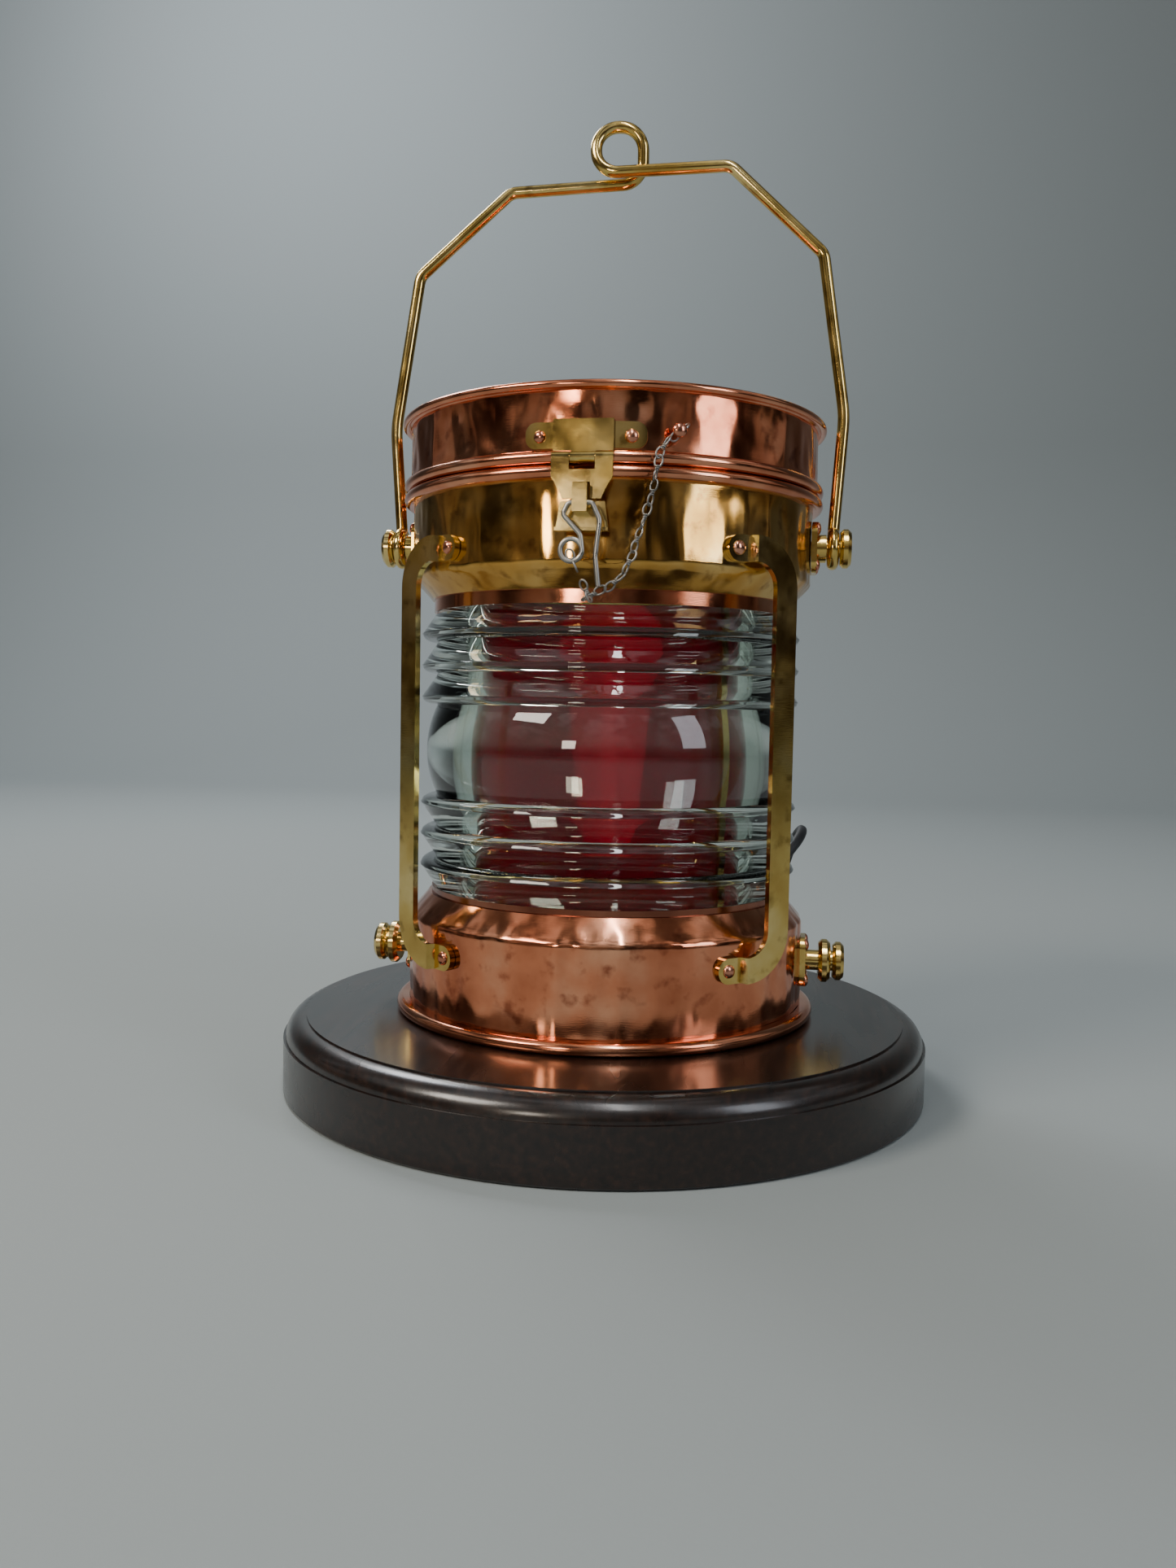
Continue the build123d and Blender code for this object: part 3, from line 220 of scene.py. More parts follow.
# %% Metals
def buffed_metal(name, dark, mid, light, rough, hammer_mm=0.0, tarnish=None):
    """Polished metal with buffing clouds, fine scratches and, if wanted, hammer marks."""
    made, tree, shader = finish_named(name, Metallic=1.0)
    even = object_space(tree, (1, 1, 1))
    upright = object_space(tree, (1, 1, 0.3))
    round_it = object_space(tree, (0.25, 0.25, 4))
    clouds = cloud(tree, even, 34, 5)
    colour = shades(tree, clouds, (0.3, dark), (0.5, mid), (0.7, light))
    if tarnish:
        spots = cloud(tree, even, 9, 6)
        amount = levels(tree, spots, 0, 0.75, 0.56, 0.72)
        tinted = {"Factor": amount, "A": colour, "B": paint(tarnish)}
        mixed = add(tree, "ShaderNodeMix", None, data_type="RGBA")
        tree.links.new(amount, mixed.inputs[0])
        tree.links.new(tinted["A"], mixed.inputs[6])
        mixed.inputs[7].default_value = tinted["B"]
        colour = mixed.outputs[2]
    tree.links.new(colour, shader.inputs["Base Color"])
    haze = cloud(tree, even, 16, 4)
    tree.links.new(levels(tree, haze, rough * 0.65, rough * 1.6), shader.inputs["Roughness"])
    scratches = cloud(tree, round_it, 1.2, 2)
    slope = relief(tree, scratches, 0.012)
    if hammer_mm:
        dents = cloud(tree, upright, 15, 1)
        slope = relief(tree, dents, hammer_mm, slope)
    tree.links.new(slope, shader.inputs["Normal"])
    return made


planished_copper = buffed_metal(
    "planished_copper_sheet", "#be6d4c", "#df8c66", "#f4b08a", 0.11, 0.35, "#8f4630"
)
copper_wire = buffed_metal("buffed_copper_bead", "#be6e4e", "#de8f6a", "#f2b28e", 0.13)
planished_bronze = buffed_metal(
    "planished_bronze_sheet", "#b5823f", "#d3a052", "#e8c078", 0.13, 0.35, "#7d5026"
)
cast_brass = buffed_metal("buffed_cast_brass", "#c09c50", "#dbbb6c", "#efd795", 0.13, 0.0, "#8d7038")
brown_copper = buffed_metal("heat_brown_copper", "#754434", "#945c47", "#b47a62", 0.2)
rivet_metal = buffed_metal("peened_copper", "#b46e55", "#d08a6e", "#e6ab8d", 0.18)
iron_wire = buffed_metal("drawn_steel_wire", "#6e6c68", "#8c8a86", "#a5a39e", 0.28)
screw_steel = buffed_metal("turned_steel_screw", "#77787a", "#8f9092", "#a8a9aa", 0.24)
print("metals", planished_copper.name, planished_bronze.name, cast_brass.name)

# %% [markdown]
# The lens is heavy pressed glass with a faint green from iron in the melt. The filter inside
# it is ruby glass, nearly opaque across the room; it glows red in the middle because the bulb
# glass behind it carries a faint painted glow, standing in for light coming through. The plinth
# is black-stained wood under satin lacquer, with the grain just telling in the gloss.

# %% Glass, wood, rubber
pressed_glass, tree, shader = finish_named(
    "pressed_lens_glass", Roughness=0.015, IOR=1.52, Transmission_Weight=1.0
)
shader.inputs["Base Color"].default_value = paint("#edf6ee")
ripples = cloud(tree, object_space(tree, (1, 1, 1)), 38, 2)
tree.links.new(relief(tree, ripples, 0.06), shader.inputs["Normal"])

ruby_glass, tree, shader = finish_named(
    "flashed_ruby_glass", Roughness=0.05, IOR=1.52, Transmission_Weight=0.6, Coat_Weight=0.4
)
shader.inputs["Coat Roughness"].default_value = 0.03
ruby_tone = cloud(tree, object_space(tree, (1, 1, 0.2)), 60, 2)
ruby = shades(tree, ruby_tone, (0.3, "#8c0a24"), (0.5, "#a80e2a"), (0.7, "#c01432"))
tree.links.new(ruby, shader.inputs["Base Color"])

lamp_glass, tree, shader = finish_named(
    "blown_lamp_glass_painted_glow", Roughness=0.02, IOR=1.5, Transmission_Weight=1.0
)
shader.inputs["Base Color"].default_value = paint("#f4f6f6")
# Painted glow: a faint warm emission on the bulb glass stands in for light passing through the lantern, and
# shows red through the ruby filter.
shader.inputs["Emission Color"].default_value = paint("#fff1e2")
shader.inputs["Emission Strength"].default_value = 0.16
swirl = cloud(tree, object_space(tree, (1, 1, 1)), 30, 1)
tree.links.new(relief(tree, swirl, 0.1), shader.inputs["Normal"])

black_lacquer, tree, shader = finish_named(
    "black_lacquered_wood", IOR=1.5, Coat_Weight=0.35, Coat_Roughness=0.16
)
grain_way = object_space(tree, (1, 0.08, 1))
grain = cloud(tree, grain_way, 3.2, 6)
broad = cloud(tree, object_space(tree, (1, 0.2, 1)), 40, 3)
stain = shades(tree, grain, (0.32, "#0e0806"), (0.55, "#1d110c"), (0.72, "#2a1a12"))
tree.links.new(stain, shader.inputs["Base Color"])
tree.links.new(levels(tree, broad, 0.2, 0.34), shader.inputs["Roughness"])
tree.links.new(relief(tree, grain, 0.05), shader.inputs["Normal"])


def moulded(name, dark, light, rough, grit_mm, depth_mm):
    """Rubber or plastic from a mould: one colour, dulled and pitted by a fine grit."""
    made, tree, shader = finish_named(name, IOR=1.5)
    grit = cloud(tree, object_space(tree, (1, 1, 1)), grit_mm, 3)
    dust = cloud(tree, object_space(tree, (1, 1, 1)), 22, 4)
    tree.links.new(shades(tree, dust, (0.35, dark), (0.7, light)), shader.inputs["Base Color"])
    tree.links.new(levels(tree, dust, rough * 0.85, rough * 1.2), shader.inputs["Roughness"])
    tree.links.new(relief(tree, grit, depth_mm), shader.inputs["Normal"])
    return made


flex_rubber = moulded("moulded_flex_rubber", "#17181a", "#26282b", 0.5, 0.9, 0.03)
seal_rubber = moulded("cut_seal_rubber", "#121212", "#1e1e1e", 0.7, 1.2, 0.04)
phenolic = moulded("moulded_phenolic_resin", "#140d0a", "#221612", 0.25, 2.0, 0.01)
plug_resin = moulded("moulded_plug_plastic", "#161719", "#222427", 0.42, 0.8, 0.02)
print("plain finishes", ruby_glass.name, black_lacquer.name, flex_rubber.name)

# %% [markdown]
# Each imported node keeps its own place; here it only gets its finish.

# %% Finish for each node
finish_of = {
    planished_copper: ["base_drum", "lid_drum", "lid_deck", "chimney", "chimney_cap"],
    copper_wire: ["upper_body_bead", "lid_bead", "lid_rim", "upper_neck_band", "base_rim_bead"],
    planished_bronze: ["upper_body", "base_plate", "upper_seat_ring"],
    brown_copper: ["lower_neck_band"],
    rivet_metal: ["body_rivets", "lid_rivets", "chain_rivet"],
    iron_wire: ["hitch_pin", "chain", "pin_chain_link", "bulb_filament"],
    screw_steel: ["plinth_screws"],
    pressed_glass: ["lens"],
    ruby_glass: ["red_filter"],
    lamp_glass: ["bulb_glass", "bulb_stem"],
    black_lacquer: ["plinth"],
    flex_rubber: ["strain_relief_boot", "inner_lead", "cord_run", "cord_coil"],
    seal_rubber: ["lens_gaskets"],
    phenolic: ["lamp_holder"],
    plug_resin: ["plug_body"],
}
flex.data.materials.append(flex_rubber)
named = {name: finish for finish, names in finish_of.items() for name in names}
for name, thing in nodes.items():
    thing.data.materials.clear()
    thing.data.materials.append(named.get(name, cast_brass))
print("dressed", len(nodes), "nodes;", len(nodes) - len(named), "of them in cast brass")

# %% [markdown]
# The drums are the lantern's big mirrors, so their dents must be real. A plain turned skin is
# a closed outline spun round the axis. Geometry Nodes then push its outer wall in and out
# by a few tenths of a millimetre, with noise that is stretched upright like the marks of a
# planishing hammer. The dents fade out near the edges, where the beads are soldered on.

# %% Turning a skin
def turned_skin(name, outline, turns=256):
    """A closed ring of (radius, height) points in millimetres, spun round Z."""
    made = bmesh.new()
    rings = []
    for step in range(turns):
        angle = 2 * pi * step / turns
        ring = [made.verts.new((r * MM * cos(angle), r * MM * sin(angle), z * MM)) for r, z in outline]
        rings.append(ring)
    for here, there in zip(rings, rings[1:] + rings[:1]):
        for one, two in zip(range(len(outline)), list(range(1, len(outline))) + [0]):
            made.faces.new((here[one], there[one], there[two], here[two]))
    bmesh.ops.recalc_face_normals(made, faces=made.faces)
    mesh = bpy.data.meshes.new(name)
    made.to_mesh(mesh)
    mesh.shade_smooth()
    mesh.set_sharp_from_angle(angle=radians(32))
    thing = bpy.data.objects.new(name, mesh)
    bpy.context.scene.collection.objects.link(thing)
    return thing


def sampled(line, step=2.0):
    """More points along a line of (radius, height) points, no further apart than a step."""
    made = [line[0]]
    for (r0, z0), (r1, z1) in zip(line, line[1:]):
        count = max(1, int(sqrt((r1 - r0) ** 2 + (z1 - z0) ** 2) / step))
        for part in range(1, count + 1):
            made.append((r0 + (r1 - r0) * part / count, z0 + (z1 - z0) * part / count))
    return made


# %% Planishing, as geometry nodes
def tree_named(name, sizes):
    """A geometry node group with a mesh in, a mesh out and one number for each size."""
    made = bpy.data.node_groups.new(name, "GeometryNodeTree")
    made.interface.new_socket(name="Geometry", in_out="INPUT", socket_type="NodeSocketGeometry")
    for size, value in sizes.items():
        kind = "NodeSocketInt" if isinstance(value, int) else "NodeSocketFloat"
        made.interface.new_socket(name=size, in_out="INPUT", socket_type=kind).default_value = value
    made.interface.new_socket(name="Geometry", in_out="OUTPUT", socket_type="NodeSocketGeometry")
    return made, add(made, "NodeGroupInput"), add(made, "NodeGroupOutput")


def maths(tree, what, *values):
    """One arithmetic node."""
    made = tree.nodes.new("ShaderNodeMath")
    made.operation = what
    for socket, value in zip(made.inputs, values):
        if isinstance(value, bpy.types.NodeSocket):
            tree.links.new(value, socket)
        else:
            socket.default_value = value
    return made.outputs[0]


planish, given, result = tree_named(
    "Planish", {"Depth": 0.0004, "Low": 0.0, "High": 1.0, "Fade": 0.006, "Seed": 0.0}
)
place = add(planish, "GeometryNodeInputPosition").outputs[0]
axes = add(planish, "ShaderNodeSeparateXYZ", {"Vector": place})
flat = add(planish, "ShaderNodeCombineXYZ", {"X": axes.outputs[0], "Y": axes.outputs[1]})
outward = add(planish, "ShaderNodeVectorMath", {0: flat.outputs[0]}, operation="NORMALIZE")
shrunk = maths(planish, "MULTIPLY", axes.outputs[2], 0.34)
shifted = maths(planish, "ADD", shrunk, given.outputs["Seed"])
upright = add(
    planish,
    "ShaderNodeCombineXYZ",
    {"X": axes.outputs[0], "Y": axes.outputs[1], "Z": shifted},
)
dents = add(
    planish,
    "ShaderNodeTexNoise",
    {"Vector": upright.outputs[0], "Scale": 78.0, "Detail": 1.0, "Roughness": 0.4},
)
from_low = maths(planish, "SUBTRACT", axes.outputs[2], given.outputs["Low"])
from_high = maths(planish, "SUBTRACT", given.outputs["High"], axes.outputs[2])
nearest = maths(planish, "MINIMUM", from_low, from_high)
faded = add(
    planish,
    "ShaderNodeMapRange",
    {"Value": nearest, "From Min": 0.0, "From Max": given.outputs["Fade"]},
    clamp=True,
)
centred = maths(planish, "SUBTRACT", dents.outputs["Fac"], 0.62)
push = maths(planish, "MULTIPLY", centred, maths(planish, "MULTIPLY", given.outputs["Depth"], 4.0))
push = maths(planish, "MULTIPLY", push, faded.outputs[0])
move = add(planish, "ShaderNodeVectorMath", {0: outward.outputs[0], "Scale": push}, operation="SCALE")
moved = add(
    planish,
    "GeometryNodeSetPosition",
    {"Geometry": given.outputs["Geometry"], "Offset": move.outputs[0]},
)
planish.links.new(moved.outputs[0], result.inputs[0])
print("planish tree", len(planish.nodes), "nodes")


# %% Turning a tree's result into a plain mesh
def built(thing, tree, finish, **sizes):
    """Run a tree on an object with these sizes and keep its result as a plain mesh."""
    work = thing.modifiers.new(tree.name, "NODES")
    work.node_group = tree
    for socket in tree.interface.items_tree:
        if socket.in_out == "INPUT" and socket.name in sizes:
            work[socket.identifier] = sizes[socket.name]
    bpy.context.view_layer.update()
    shape = thing.evaluated_get(bpy.context.evaluated_depsgraph_get())
    mesh = bpy.data.meshes.new_from_object(shape)
    thing.modifiers.remove(work)
    thing.data = mesh
    mesh.materials.clear()
    mesh.materials.append(finish)
    print(thing.name, len(mesh.polygons), "faces")
    return thing


def shown_instead(thing, body, slot, *names):
    """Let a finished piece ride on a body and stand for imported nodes."""
    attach(thing, body)
    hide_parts(*names)
    return thing


# %% [markdown]
# Three skins: the base with its sloping shoulder, the bronze upper body with its cone, and
# the lid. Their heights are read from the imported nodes, so they follow the frame.

# %% The three skins
def heights(name):
    """A node's lowest and highest points in millimetres."""
    low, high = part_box(name)
    return low.z / MM, high.z / MM


SHEET = 1.4
BODY = 108.0
NECK = 97.9
LID = 109.8
low, high = heights("base_drum")
wall_top = high - 11.5
outside = sampled([(BODY, low), (BODY, wall_top - 0.8), (BODY - 0.6, wall_top + 0.5), (NECK, high)])
base_skin = turned_skin("base_skin", outside + [(r - SHEET, z) for r, z in reversed(outside)], 384)
built(base_skin, planish, planished_copper, Depth=0.0006, Low=low * MM, High=high * MM, Fade=0.009)
shown_instead(base_skin, "root", "copper_sheet", "base_drum")

low, high = heights("upper_body")
wall_low = low + 10.3
outside = sampled([(NECK, low), (BODY - 0.8, wall_low - 0.6), (BODY, wall_low + 0.8), (BODY, high)])
body_skin = turned_skin("body_skin", outside + [(r - SHEET, z) for r, z in reversed(outside)], 384)
bead_z = heights("upper_body_bead")[0] * MM
built(body_skin, planish, planished_bronze, Depth=0.0006, Low=low * MM, High=bead_z, Fade=0.008, Seed=0.3)
shown_instead(body_skin, "root", "bronze_sheet", "upper_body")

low, high = heights("lid_drum")
outside = sampled([(LID, low), (LID, high)])
lid_skin = turned_skin("lid_skin", outside + [(r - SHEET, z) for r, z in reversed(outside)], 384)
wall_low = heights("lid_bead")[1] * MM
built(lid_skin, planish, planished_copper, Depth=0.0006, Low=wall_low, High=high * MM, Fade=0.006, Seed=0.7)
shown_instead(lid_skin, "lid", "copper_sheet", "lid_drum")

# %% [markdown]
# The lens is one heavy pressing. Above and below a bulging belly run prism rings, each a
# sloping face, a sharp lip and a rounded back. Its outline follows a rule, so it is worked
# out, given a hairline rounding at each lip so that the lips catch light, and spun.

# %% The stepped lens
LENS_NECK = 94.5
LENS_TIP = 103.0
LENS_BELLY = 100.0
LENS_BORE = 86.0
low, high = heights("lens")
half_outline = [(LENS_NECK, low)]
for count in range(3):
    tip = low + 13.0 + 16.8 * count
    foot = tip - 12.6
    half_outline += sampled([(LENS_NECK, foot), (LENS_TIP - 0.4, tip - 0.55)], 4)
    half_outline += [(LENS_TIP - 0.08, tip - 0.25), (LENS_TIP - 0.1, tip + 0.15), (LENS_TIP - 0.5, tip + 0.6)]
    for step in range(1, 7):
        angle = pi / 2 * step / 6
        back = LENS_TIP - 0.5 - (LENS_TIP - 0.5 - LENS_NECK) * (1 - cos(angle))
        half_outline.append((back, tip + 0.6 + 3.6 * sin(angle)))
outline = [half_outline[0]]
for spot in half_outline[1:]:
    if spot[1] - outline[-1][1] > 0.02 or abs(spot[0] - outline[-1][0]) > 0.02:
        outline.append(spot)
middle_z = (low + high) / 2
belly_low = outline[-1][1]
rise = middle_z - belly_low
swell = LENS_BELLY - LENS_NECK
belly_radius = (rise**2 + swell**2) / (2 * swell)
belly = []
for step in range(1, 24):
    z = belly_low + 2 * rise * step / 24
    belly.append((LENS_BELLY - belly_radius + sqrt(belly_radius**2 - (z - middle_z) ** 2), z))
mirrored = [(r, low + high - z) for r, z in reversed(outline)]
lens_line = outline + belly + mirrored + [(LENS_BORE, high), (LENS_BORE, low)]
stepped_lens = turned_skin("stepped_lens", lens_line, 288)
stepped_lens.data.materials.append(pressed_glass)
shown_instead(stepped_lens, "root", "lens_glass", "lens")
print("lens outline", len(lens_line), "points")

# %% [markdown]
# Copper rivets hold the guards, flanges, hasp and hinge. Each is a shank with a low dome
# struck over, so every head is alike but none is perfectly true. A tree puts one dome on
# each point of a bare mesh, turns it to face outwards by a stored direction, and swells it
# a little at random from a fixed seed. One mesh of points is made for each body.

# %% The rivet tree
rivets_tree, given, result = tree_named(
    "Struck rivets", {"Head": 0.0033, "Rise": 0.0019, "Uneven": 0.06}
)
dome = add(rivets_tree, "GeometryNodeMeshUVSphere", {"Segments": 24, "Rings": 12, "Radius": 1.0})
depth_way = maths(rivets_tree, "MULTIPLY", given.outputs["Rise"], 1.0)
size_way = add(
    rivets_tree,
    "ShaderNodeCombineXYZ",
    {"X": given.outputs["Head"], "Y": given.outputs["Head"], "Z": depth_way},
)
low_dome = add(
    rivets_tree,
    "GeometryNodeTransform",
    {"Geometry": dome.outputs["Mesh"], "Scale": size_way.outputs[0]},
)
facing = add(rivets_tree, "GeometryNodeInputNamedAttribute", {"Name": "facing"}, data_type="FLOAT_VECTOR")
turned_out = add(
    rivets_tree, "FunctionNodeAlignRotationToVector", {"Vector": facing.outputs[0]}, axis="Z"
)
least = maths(rivets_tree, "SUBTRACT", 1.0, given.outputs["Uneven"])
most = maths(rivets_tree, "ADD", 1.0, given.outputs["Uneven"])
chance = add(rivets_tree, "FunctionNodeRandomValue", {"Seed": 7}, data_type="FLOAT")
rivets_tree.links.new(least, chance.inputs[2])
rivets_tree.links.new(most, chance.inputs[3])
heads = add(
    rivets_tree,
    "GeometryNodeInstanceOnPoints",
    {
        "Points": given.outputs["Geometry"],
        "Instance": low_dome.outputs[0],
        "Rotation": turned_out.outputs[0],
        "Scale": chance.outputs[1],
    },
)
solid = add(rivets_tree, "GeometryNodeRealizeInstances", {"Geometry": heads.outputs[0]})
smooth = add(rivets_tree, "GeometryNodeSetShadeSmooth", {0: solid.outputs[0]})
coated = add(rivets_tree, "GeometryNodeSetMaterial", {"Geometry": smooth.outputs[0], "Material": rivet_metal})
rivets_tree.links.new(coated.outputs[0], result.inputs[0])


def riveted(name, seats, body, slot, node, **sizes):
    """Domes on a list of (place in millimetres, outward direction) seats."""
    mesh = bpy.data.meshes.new(name)
    mesh.from_pydata([tuple(Vector(place) * MM) for place, way in seats], [], [])
    facing = mesh.attributes.new("facing", "FLOAT_VECTOR", "POINT")
    for item, (place, way) in zip(facing.data, seats):
        item.vector = way
    thing = bpy.data.objects.new(name, mesh)
    bpy.context.scene.collection.objects.link(thing)
    built(thing, rivets_tree, rivet_metal, **sizes)
    return shown_instead(thing, body, slot, node)


def on_drum(angle, radius, height):
    """A seat on a drum, at an angle from the front towards +X."""
    way = Vector((sin(radians(angle)), -cos(radians(angle)), 0))
    return way * radius + Vector((0, 0, height)), way


# %% Where the rivets sit
GUARD_FACE = 111.0
FLANGE_FACE = 110.4
body_seats = [on_drum(a, GUARD_FACE, z) for a in (40, 152, 208, 320) for z in (283, 79)]
for side in (1, -1):
    for height in (293, 70):
        for y in (-8.2, 8.2):
            for rise in (-9.6, 9.6):
                body_seats.append((Vector((FLANGE_FACE * side, y, height + rise)), Vector((side, 0, 0))))
body_seats += [(Vector((x, 110.2, 297.5)), Vector((0, 1, 0))) for x in (-12.5, 0, 12.5)]
lid_seats = [(Vector((x, 112.0, 337.6)), Vector((0, 1, 0))) for x in (-12.5, 0, 12.5)]
lid_seats += [on_drum(a, 111.6, 330.6) for a in (-11.1, 11.1)]
body_domes = riveted("body_rivet_heads", body_seats, "root", "rivet_copper", "body_rivets", Head=0.0034)
lid_domes = riveted("lid_rivet_heads", lid_seats, "lid", "rivet_copper", "lid_rivets", Head=0.0031)
chain_stud = riveted("chain_rivet_head", [on_drum(22, 115.9, 333.5)], "lid", "rivet_copper", "chain_rivet")

# %% [markdown]
# The keeper chain is the twisted kind: each link is one wire bent to two loops, a quarter
# turn apart, with its waist wound round itself. The link is modelled once as a thin wire.
# A tree cuts the chain's hanging line into equal steps, sets a link on each along the line,
# and rolls every second one, so loop hooks into loop.

# %% One twisted link
def wire_link(length, width, wire):
    """A two-loop link along X, with its loops a quarter turn apart and a wound waist."""
    data = bpy.data.curves.new("link_wire", "CURVE")
    data.dimensions = "3D"
    data.bevel_depth = wire
    data.bevel_resolution = 1
    data.resolution_u = 2
    for side in (1, -1):
        ring = data.splines.new("NURBS")
        ring.points.add(7)
        for count, point in enumerate(ring.points):
            angle = 2 * pi * count / 8
            along = side * (length * 0.28 + length * 0.27 * cos(angle))
            across = width * 0.56 * sin(angle)
            point.co = (along, across, 0, 1) if side > 0 else (along, 0, across, 1)
        ring.use_cyclic_u = True
        ring.order_u = 3
    waist = data.splines.new("NURBS")
    waist.points.add(15)
    for count, point in enumerate(waist.points):
        angle = 2 * pi * count / 6
        reach = wire * 1.7
        point.co = ((count / 15 - 0.5) * length * 0.22, reach * cos(angle), reach * sin(angle), 1)
    waist.use_endpoint_u = True
    waist.order_u = 3
    holder = bpy.data.objects.new("link_holder", data)
    bpy.context.scene.collection.objects.link(holder)
    bpy.context.view_layer.update()
    shape = holder.evaluated_get(bpy.context.evaluated_depsgraph_get())
    mesh = bpy.data.meshes.new_from_object(shape)
    thing = bpy.data.objects.new("one_link", mesh)
    bpy.data.objects.remove(holder)
    return thing


# %% The chain tree
chain_tree, given, result = tree_named("Hung chain", {"Links": 7})
chain_tree.interface.new_socket(name="Link", in_out="INPUT", socket_type="NodeSocketObject")
cut = add(
    chain_tree,
    "GeometryNodeResampleCurve",
    {"Curve": given.outputs["Geometry"], "Count": given.outputs["Links"]},
)
along = add(chain_tree, "GeometryNodeInputTangent").outputs[0]
lined_up = add(chain_tree, "FunctionNodeAlignRotationToVector", {"Vector": along}, axis="X")
index = add(chain_tree, "GeometryNodeInputIndex").outputs[0]
roll = maths(chain_tree, "MULTIPLY", maths(chain_tree, "MODULO", index, 2.0), 0.5)
rolled = add(chain_tree, "ShaderNodeCombineXYZ", {"X": roll})
rolling = add(chain_tree, "FunctionNodeRotateRotation", None, rotation_space="LOCAL")
chain_tree.links.new(lined_up.outputs[0], rolling.inputs[0])
chain_tree.links.new(rolled.outputs[0], rolling.inputs[1])
link_info = add(chain_tree, "GeometryNodeObjectInfo", {"Object": given.outputs["Link"]})
hung = add(
    chain_tree,
    "GeometryNodeInstanceOnPoints",
    {
        "Points": cut.outputs[0],
        "Instance": link_info.outputs["Geometry"],
        "Rotation": rolling.outputs[0],
    },
)
solid = add(chain_tree, "GeometryNodeRealizeInstances", {"Geometry": hung.outputs[0]})
coated = add(chain_tree, "GeometryNodeSetMaterial", {"Geometry": solid.outputs[0], "Material": iron_wire})
chain_tree.links.new(coated.outputs[0], result.inputs[0])


def chained(name, stops, links, body, node):
    """Twisted links hung along a line of stops in millimetres."""
    data = bpy.data.curves.new(name + "_line", "CURVE")
    data.dimensions = "3D"
    line = data.splines.new("POLY")
    line.points.add(len(stops) - 1)
    for point, stop in zip(line.points, stops):
        point.co = (*(Vector(stop) * MM), 1)
    run = sum((Vector(b) - Vector(a)).length for a, b in zip(stops, stops[1:]))
    one = wire_link(run * MM / (links - 0.35) * 1.12, 0.0036, 0.00052)
    bpy.context.scene.collection.objects.link(one)
    thing = bpy.data.objects.new(name, data)
    bpy.context.scene.collection.objects.link(thing)
    work = thing.modifiers.new("Hung chain", "NODES")
    work.node_group = chain_tree
    for socket in chain_tree.interface.items_tree:
        if socket.name == "Links":
            work[socket.identifier] = links
        if socket.name == "Link":
            work[socket.identifier] = one
    bpy.context.view_layer.update()
    mesh = bpy.data.meshes.new_from_object(thing.evaluated_get(bpy.context.evaluated_depsgraph_get()))
    mesh.shade_smooth()
    final = bpy.data.objects.new(name, mesh)
    bpy.data.objects.remove(thing)
    bpy.data.objects.remove(one)
    final.name = name
    bpy.context.scene.collection.objects.link(final)
    print(name, links, "links,", len(mesh.polygons), "faces")
    return shown_instead(final, body, "steel_wire", node)


def hung_at(angle, radius, height):
    """A stop of the chain, at an angle from the front."""
    return on_drum(angle, radius, height)[0]


chain_stops = [
    hung_at(22.2, 114.2, 333.0),
    hung_at(16.9, 117.0, 323.0),
    hung_at(16.4, 118.2, 310.5),
    hung_at(14.8, 117.0, 297.5),
    hung_at(12.7, 117.0, 284.5),
    hung_at(10.6, 119.0, 272.0),
    hung_at(7.6, 121.5, 262.8),
    (11.5, -120.7, 259.4),
    (6.6, -120.9, 257.6),
]
keeper_chain = chained("keeper_chain", chain_stops, 9, "chain", "chain")
end_stops = [(-2.9, -123.9, 272.2), (-0.6, -123.6, 265.4), (3.4, -122.6, 258.6)]
end_link = chained("pin_end_link", end_stops, 2, "hitch_pin", "pin_chain_link")

# %% [markdown]
# A grey paper sweep and soft lights: a large one from the upper left, a weaker one from the
# right, a strip overhead, and a low one that lifts the front of the plinth. The paper rises
# into a wall well behind the lantern, so there is room to look at it from the back too.

# %% Paper sweep
paper, tree, shader = finish_named("pale_grey_sweep_paper", Roughness=0.85)
shader.inputs["Base Color"].default_value = paint("#8d9494")
weave = cloud(tree, object_space(tree, (1, 1, 1)), 3, 4)
tree.links.new(relief(tree, weave, 0.08), shader.inputs["Normal"])
sweep_line = [(-6.0, 0.0), (2.2, 0.0)]
for step in range(1, 13):
    angle = pi / 2 * step / 12
    sweep_line.append((2.2 + 1.0 * sin(angle), 1.0 - 1.0 * cos(angle)))
sweep_line.append((3.2, 6.0))
sweep = bmesh.new()
edges = [[sweep.verts.new((x, y, z)) for y, z in sweep_line] for x in (-8.0, 8.0)]
for at in range(len(sweep_line) - 1):
    sweep.faces.new((edges[0][at], edges[1][at], edges[1][at + 1], edges[0][at + 1]))
sweep_mesh = bpy.data.meshes.new("sweep")
sweep.to_mesh(sweep_mesh)
sweep_mesh.materials.append(paper)
for face in sweep_mesh.polygons:
    face.use_smooth = True
sweep_object = bpy.data.objects.new("sweep", sweep_mesh)
bpy.context.scene.collection.objects.link(sweep_object)

# %% Lights
def soft_light(name, place, aim, width, height, power, tint):
    """A rectangular soft light at a place, turned to face an aim."""
    data = bpy.data.lights.new(name, "AREA")
    data.shape = "RECTANGLE"
    data.size = width
    data.size_y = height
    data.energy = power
    data.color = paint(tint)[:3]
    lamp = bpy.data.objects.new(name, data)
    way = (Vector(aim) - Vector(place)).to_track_quat("-Z", "Y").to_matrix().to_4x4()
    lamp.matrix_world = Matrix.Translation(place) @ way
    bpy.context.scene.collection.objects.link(lamp)
    return lamp


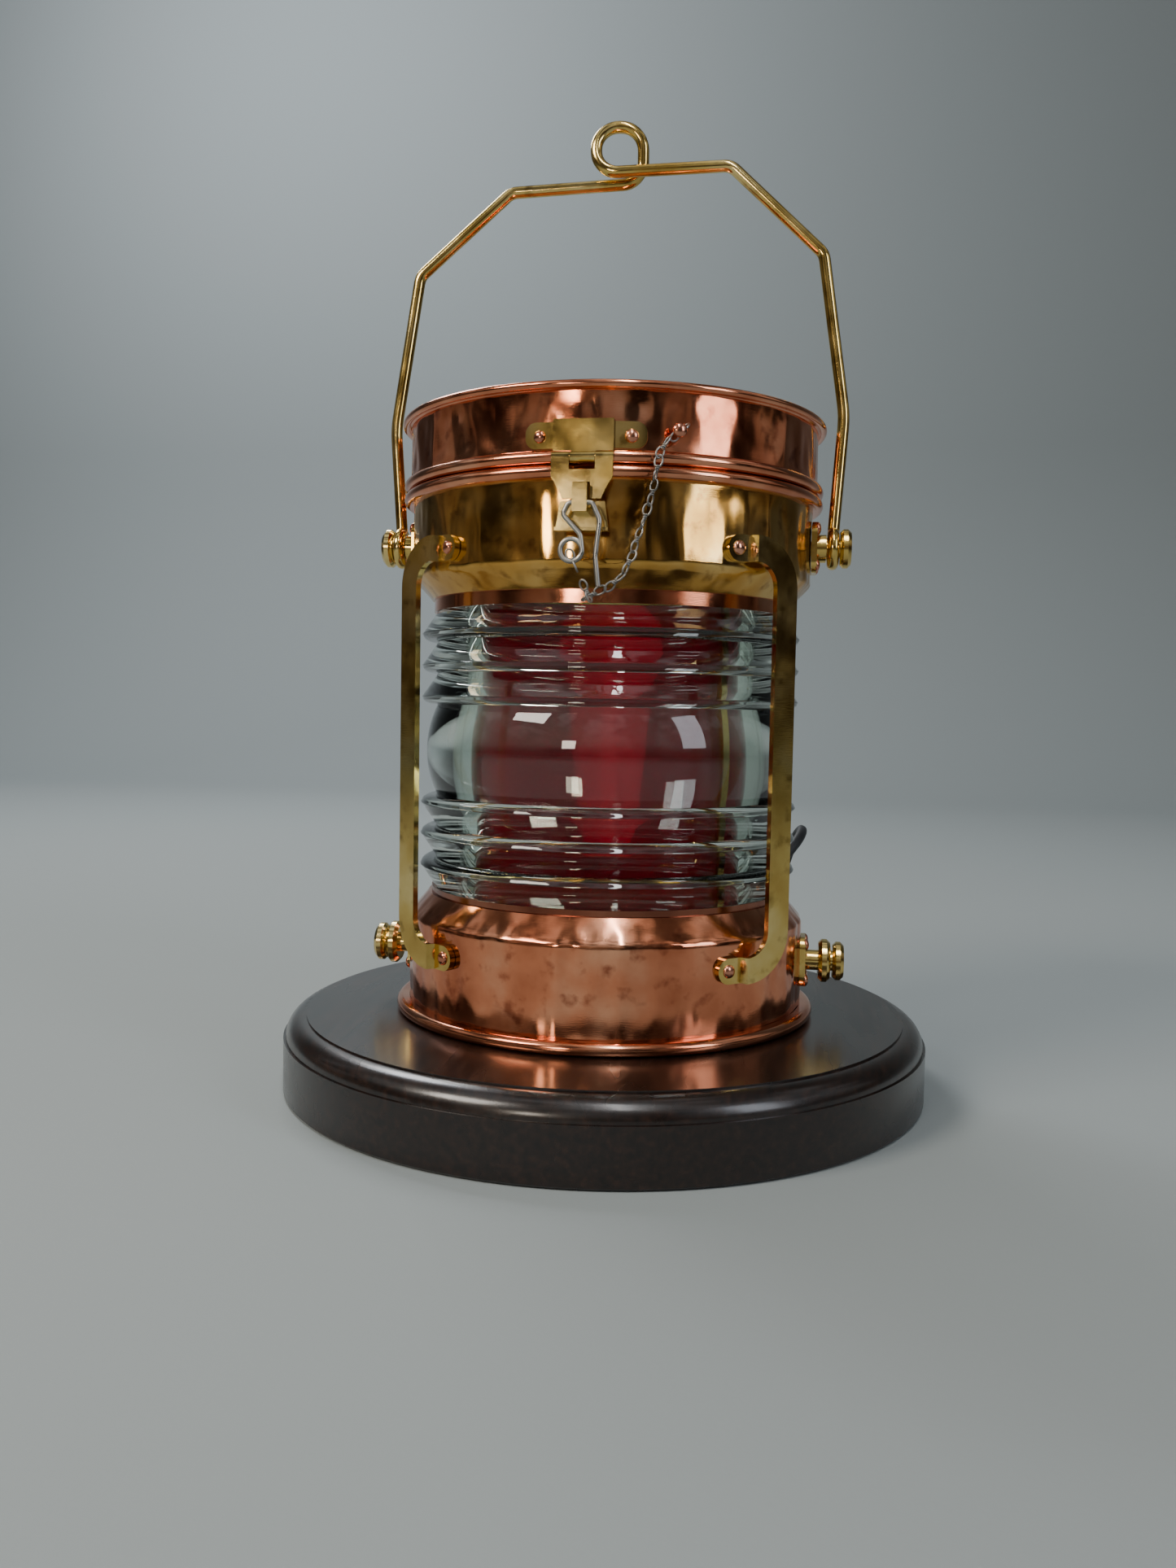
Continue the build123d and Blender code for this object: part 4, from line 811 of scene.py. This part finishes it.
middle = (0, 0, 0.25)
soft_light("key", (-1.3, -1.2, 1.5), middle, 0.8, 0.6, 30, "#fff6ea")
soft_light("fill", (1.5, -0.9, 0.9), middle, 0.5, 1.0, 9, "#eef4ff")
soft_light("strip", (0.25, -0.9, 1.7), middle, 0.12, 1.0, 8, "#ffffff")
soft_light("low", (-0.5, -1.7, 0.5), middle, 0.25, 0.25, 4, "#fff1df")
soft_light("back", (-0.9, 1.3, 1.6), middle, 0.7, 0.5, 14, "#ffffff")
soft_light("wall", (-1.6, 1.5, 2.6), (-0.5, 3.2, 1.2), 1.0, 1.0, 60, "#f4f8ff")
world = bpy.data.worlds.new("room")
world.use_nodes = True
tree = world.node_tree
tree.nodes.clear()
spot = add(tree, "ShaderNodeTexCoord")
split = add(tree, "ShaderNodeSeparateXYZ", {"Vector": spot.outputs["Generated"]})
height = levels(tree, split.outputs["Z"], 0, 1, -0.3, 1.0)
blobs = cloud(tree, spot.outputs["Generated"], 260, 2)
tone = shades(tree, height, (0.0, "#4a4038"), (0.35, "#6b6259"), (0.6, "#b4b8ba"), (1.0, "#eef0f2"))
patches = shades(tree, blobs, (0.46, "#2c2622"), (0.56, "#ffffff"))
product = add(tree, "ShaderNodeMix", None, data_type="RGBA", blend_type="MULTIPLY")
product.inputs[0].default_value = 0.9
tree.links.new(tone, product.inputs[6])
tree.links.new(patches, product.inputs[7])
glow = add(tree, "ShaderNodeBackground", {"Color": product.outputs[2], "Strength": 1.0})
wall = add(tree, "ShaderNodeBackground", {"Color": paint("#868c8c"), "Strength": 0.62})
path = add(tree, "ShaderNodeLightPath")
straight = maths(
    tree, "MAXIMUM", path.outputs["Is Camera Ray"], path.outputs["Is Transmission Ray"]
)
chosen = add(tree, "ShaderNodeMixShader", {"Fac": straight})
tree.links.new(glow.outputs[0], chosen.inputs[1])
tree.links.new(wall.outputs[0], chosen.inputs[2])
add(tree, "ShaderNodeOutputWorld", {"Surface": chosen.outputs[0]})
bpy.context.scene.world = world

# %% The end
bpy.context.view_layer.update()
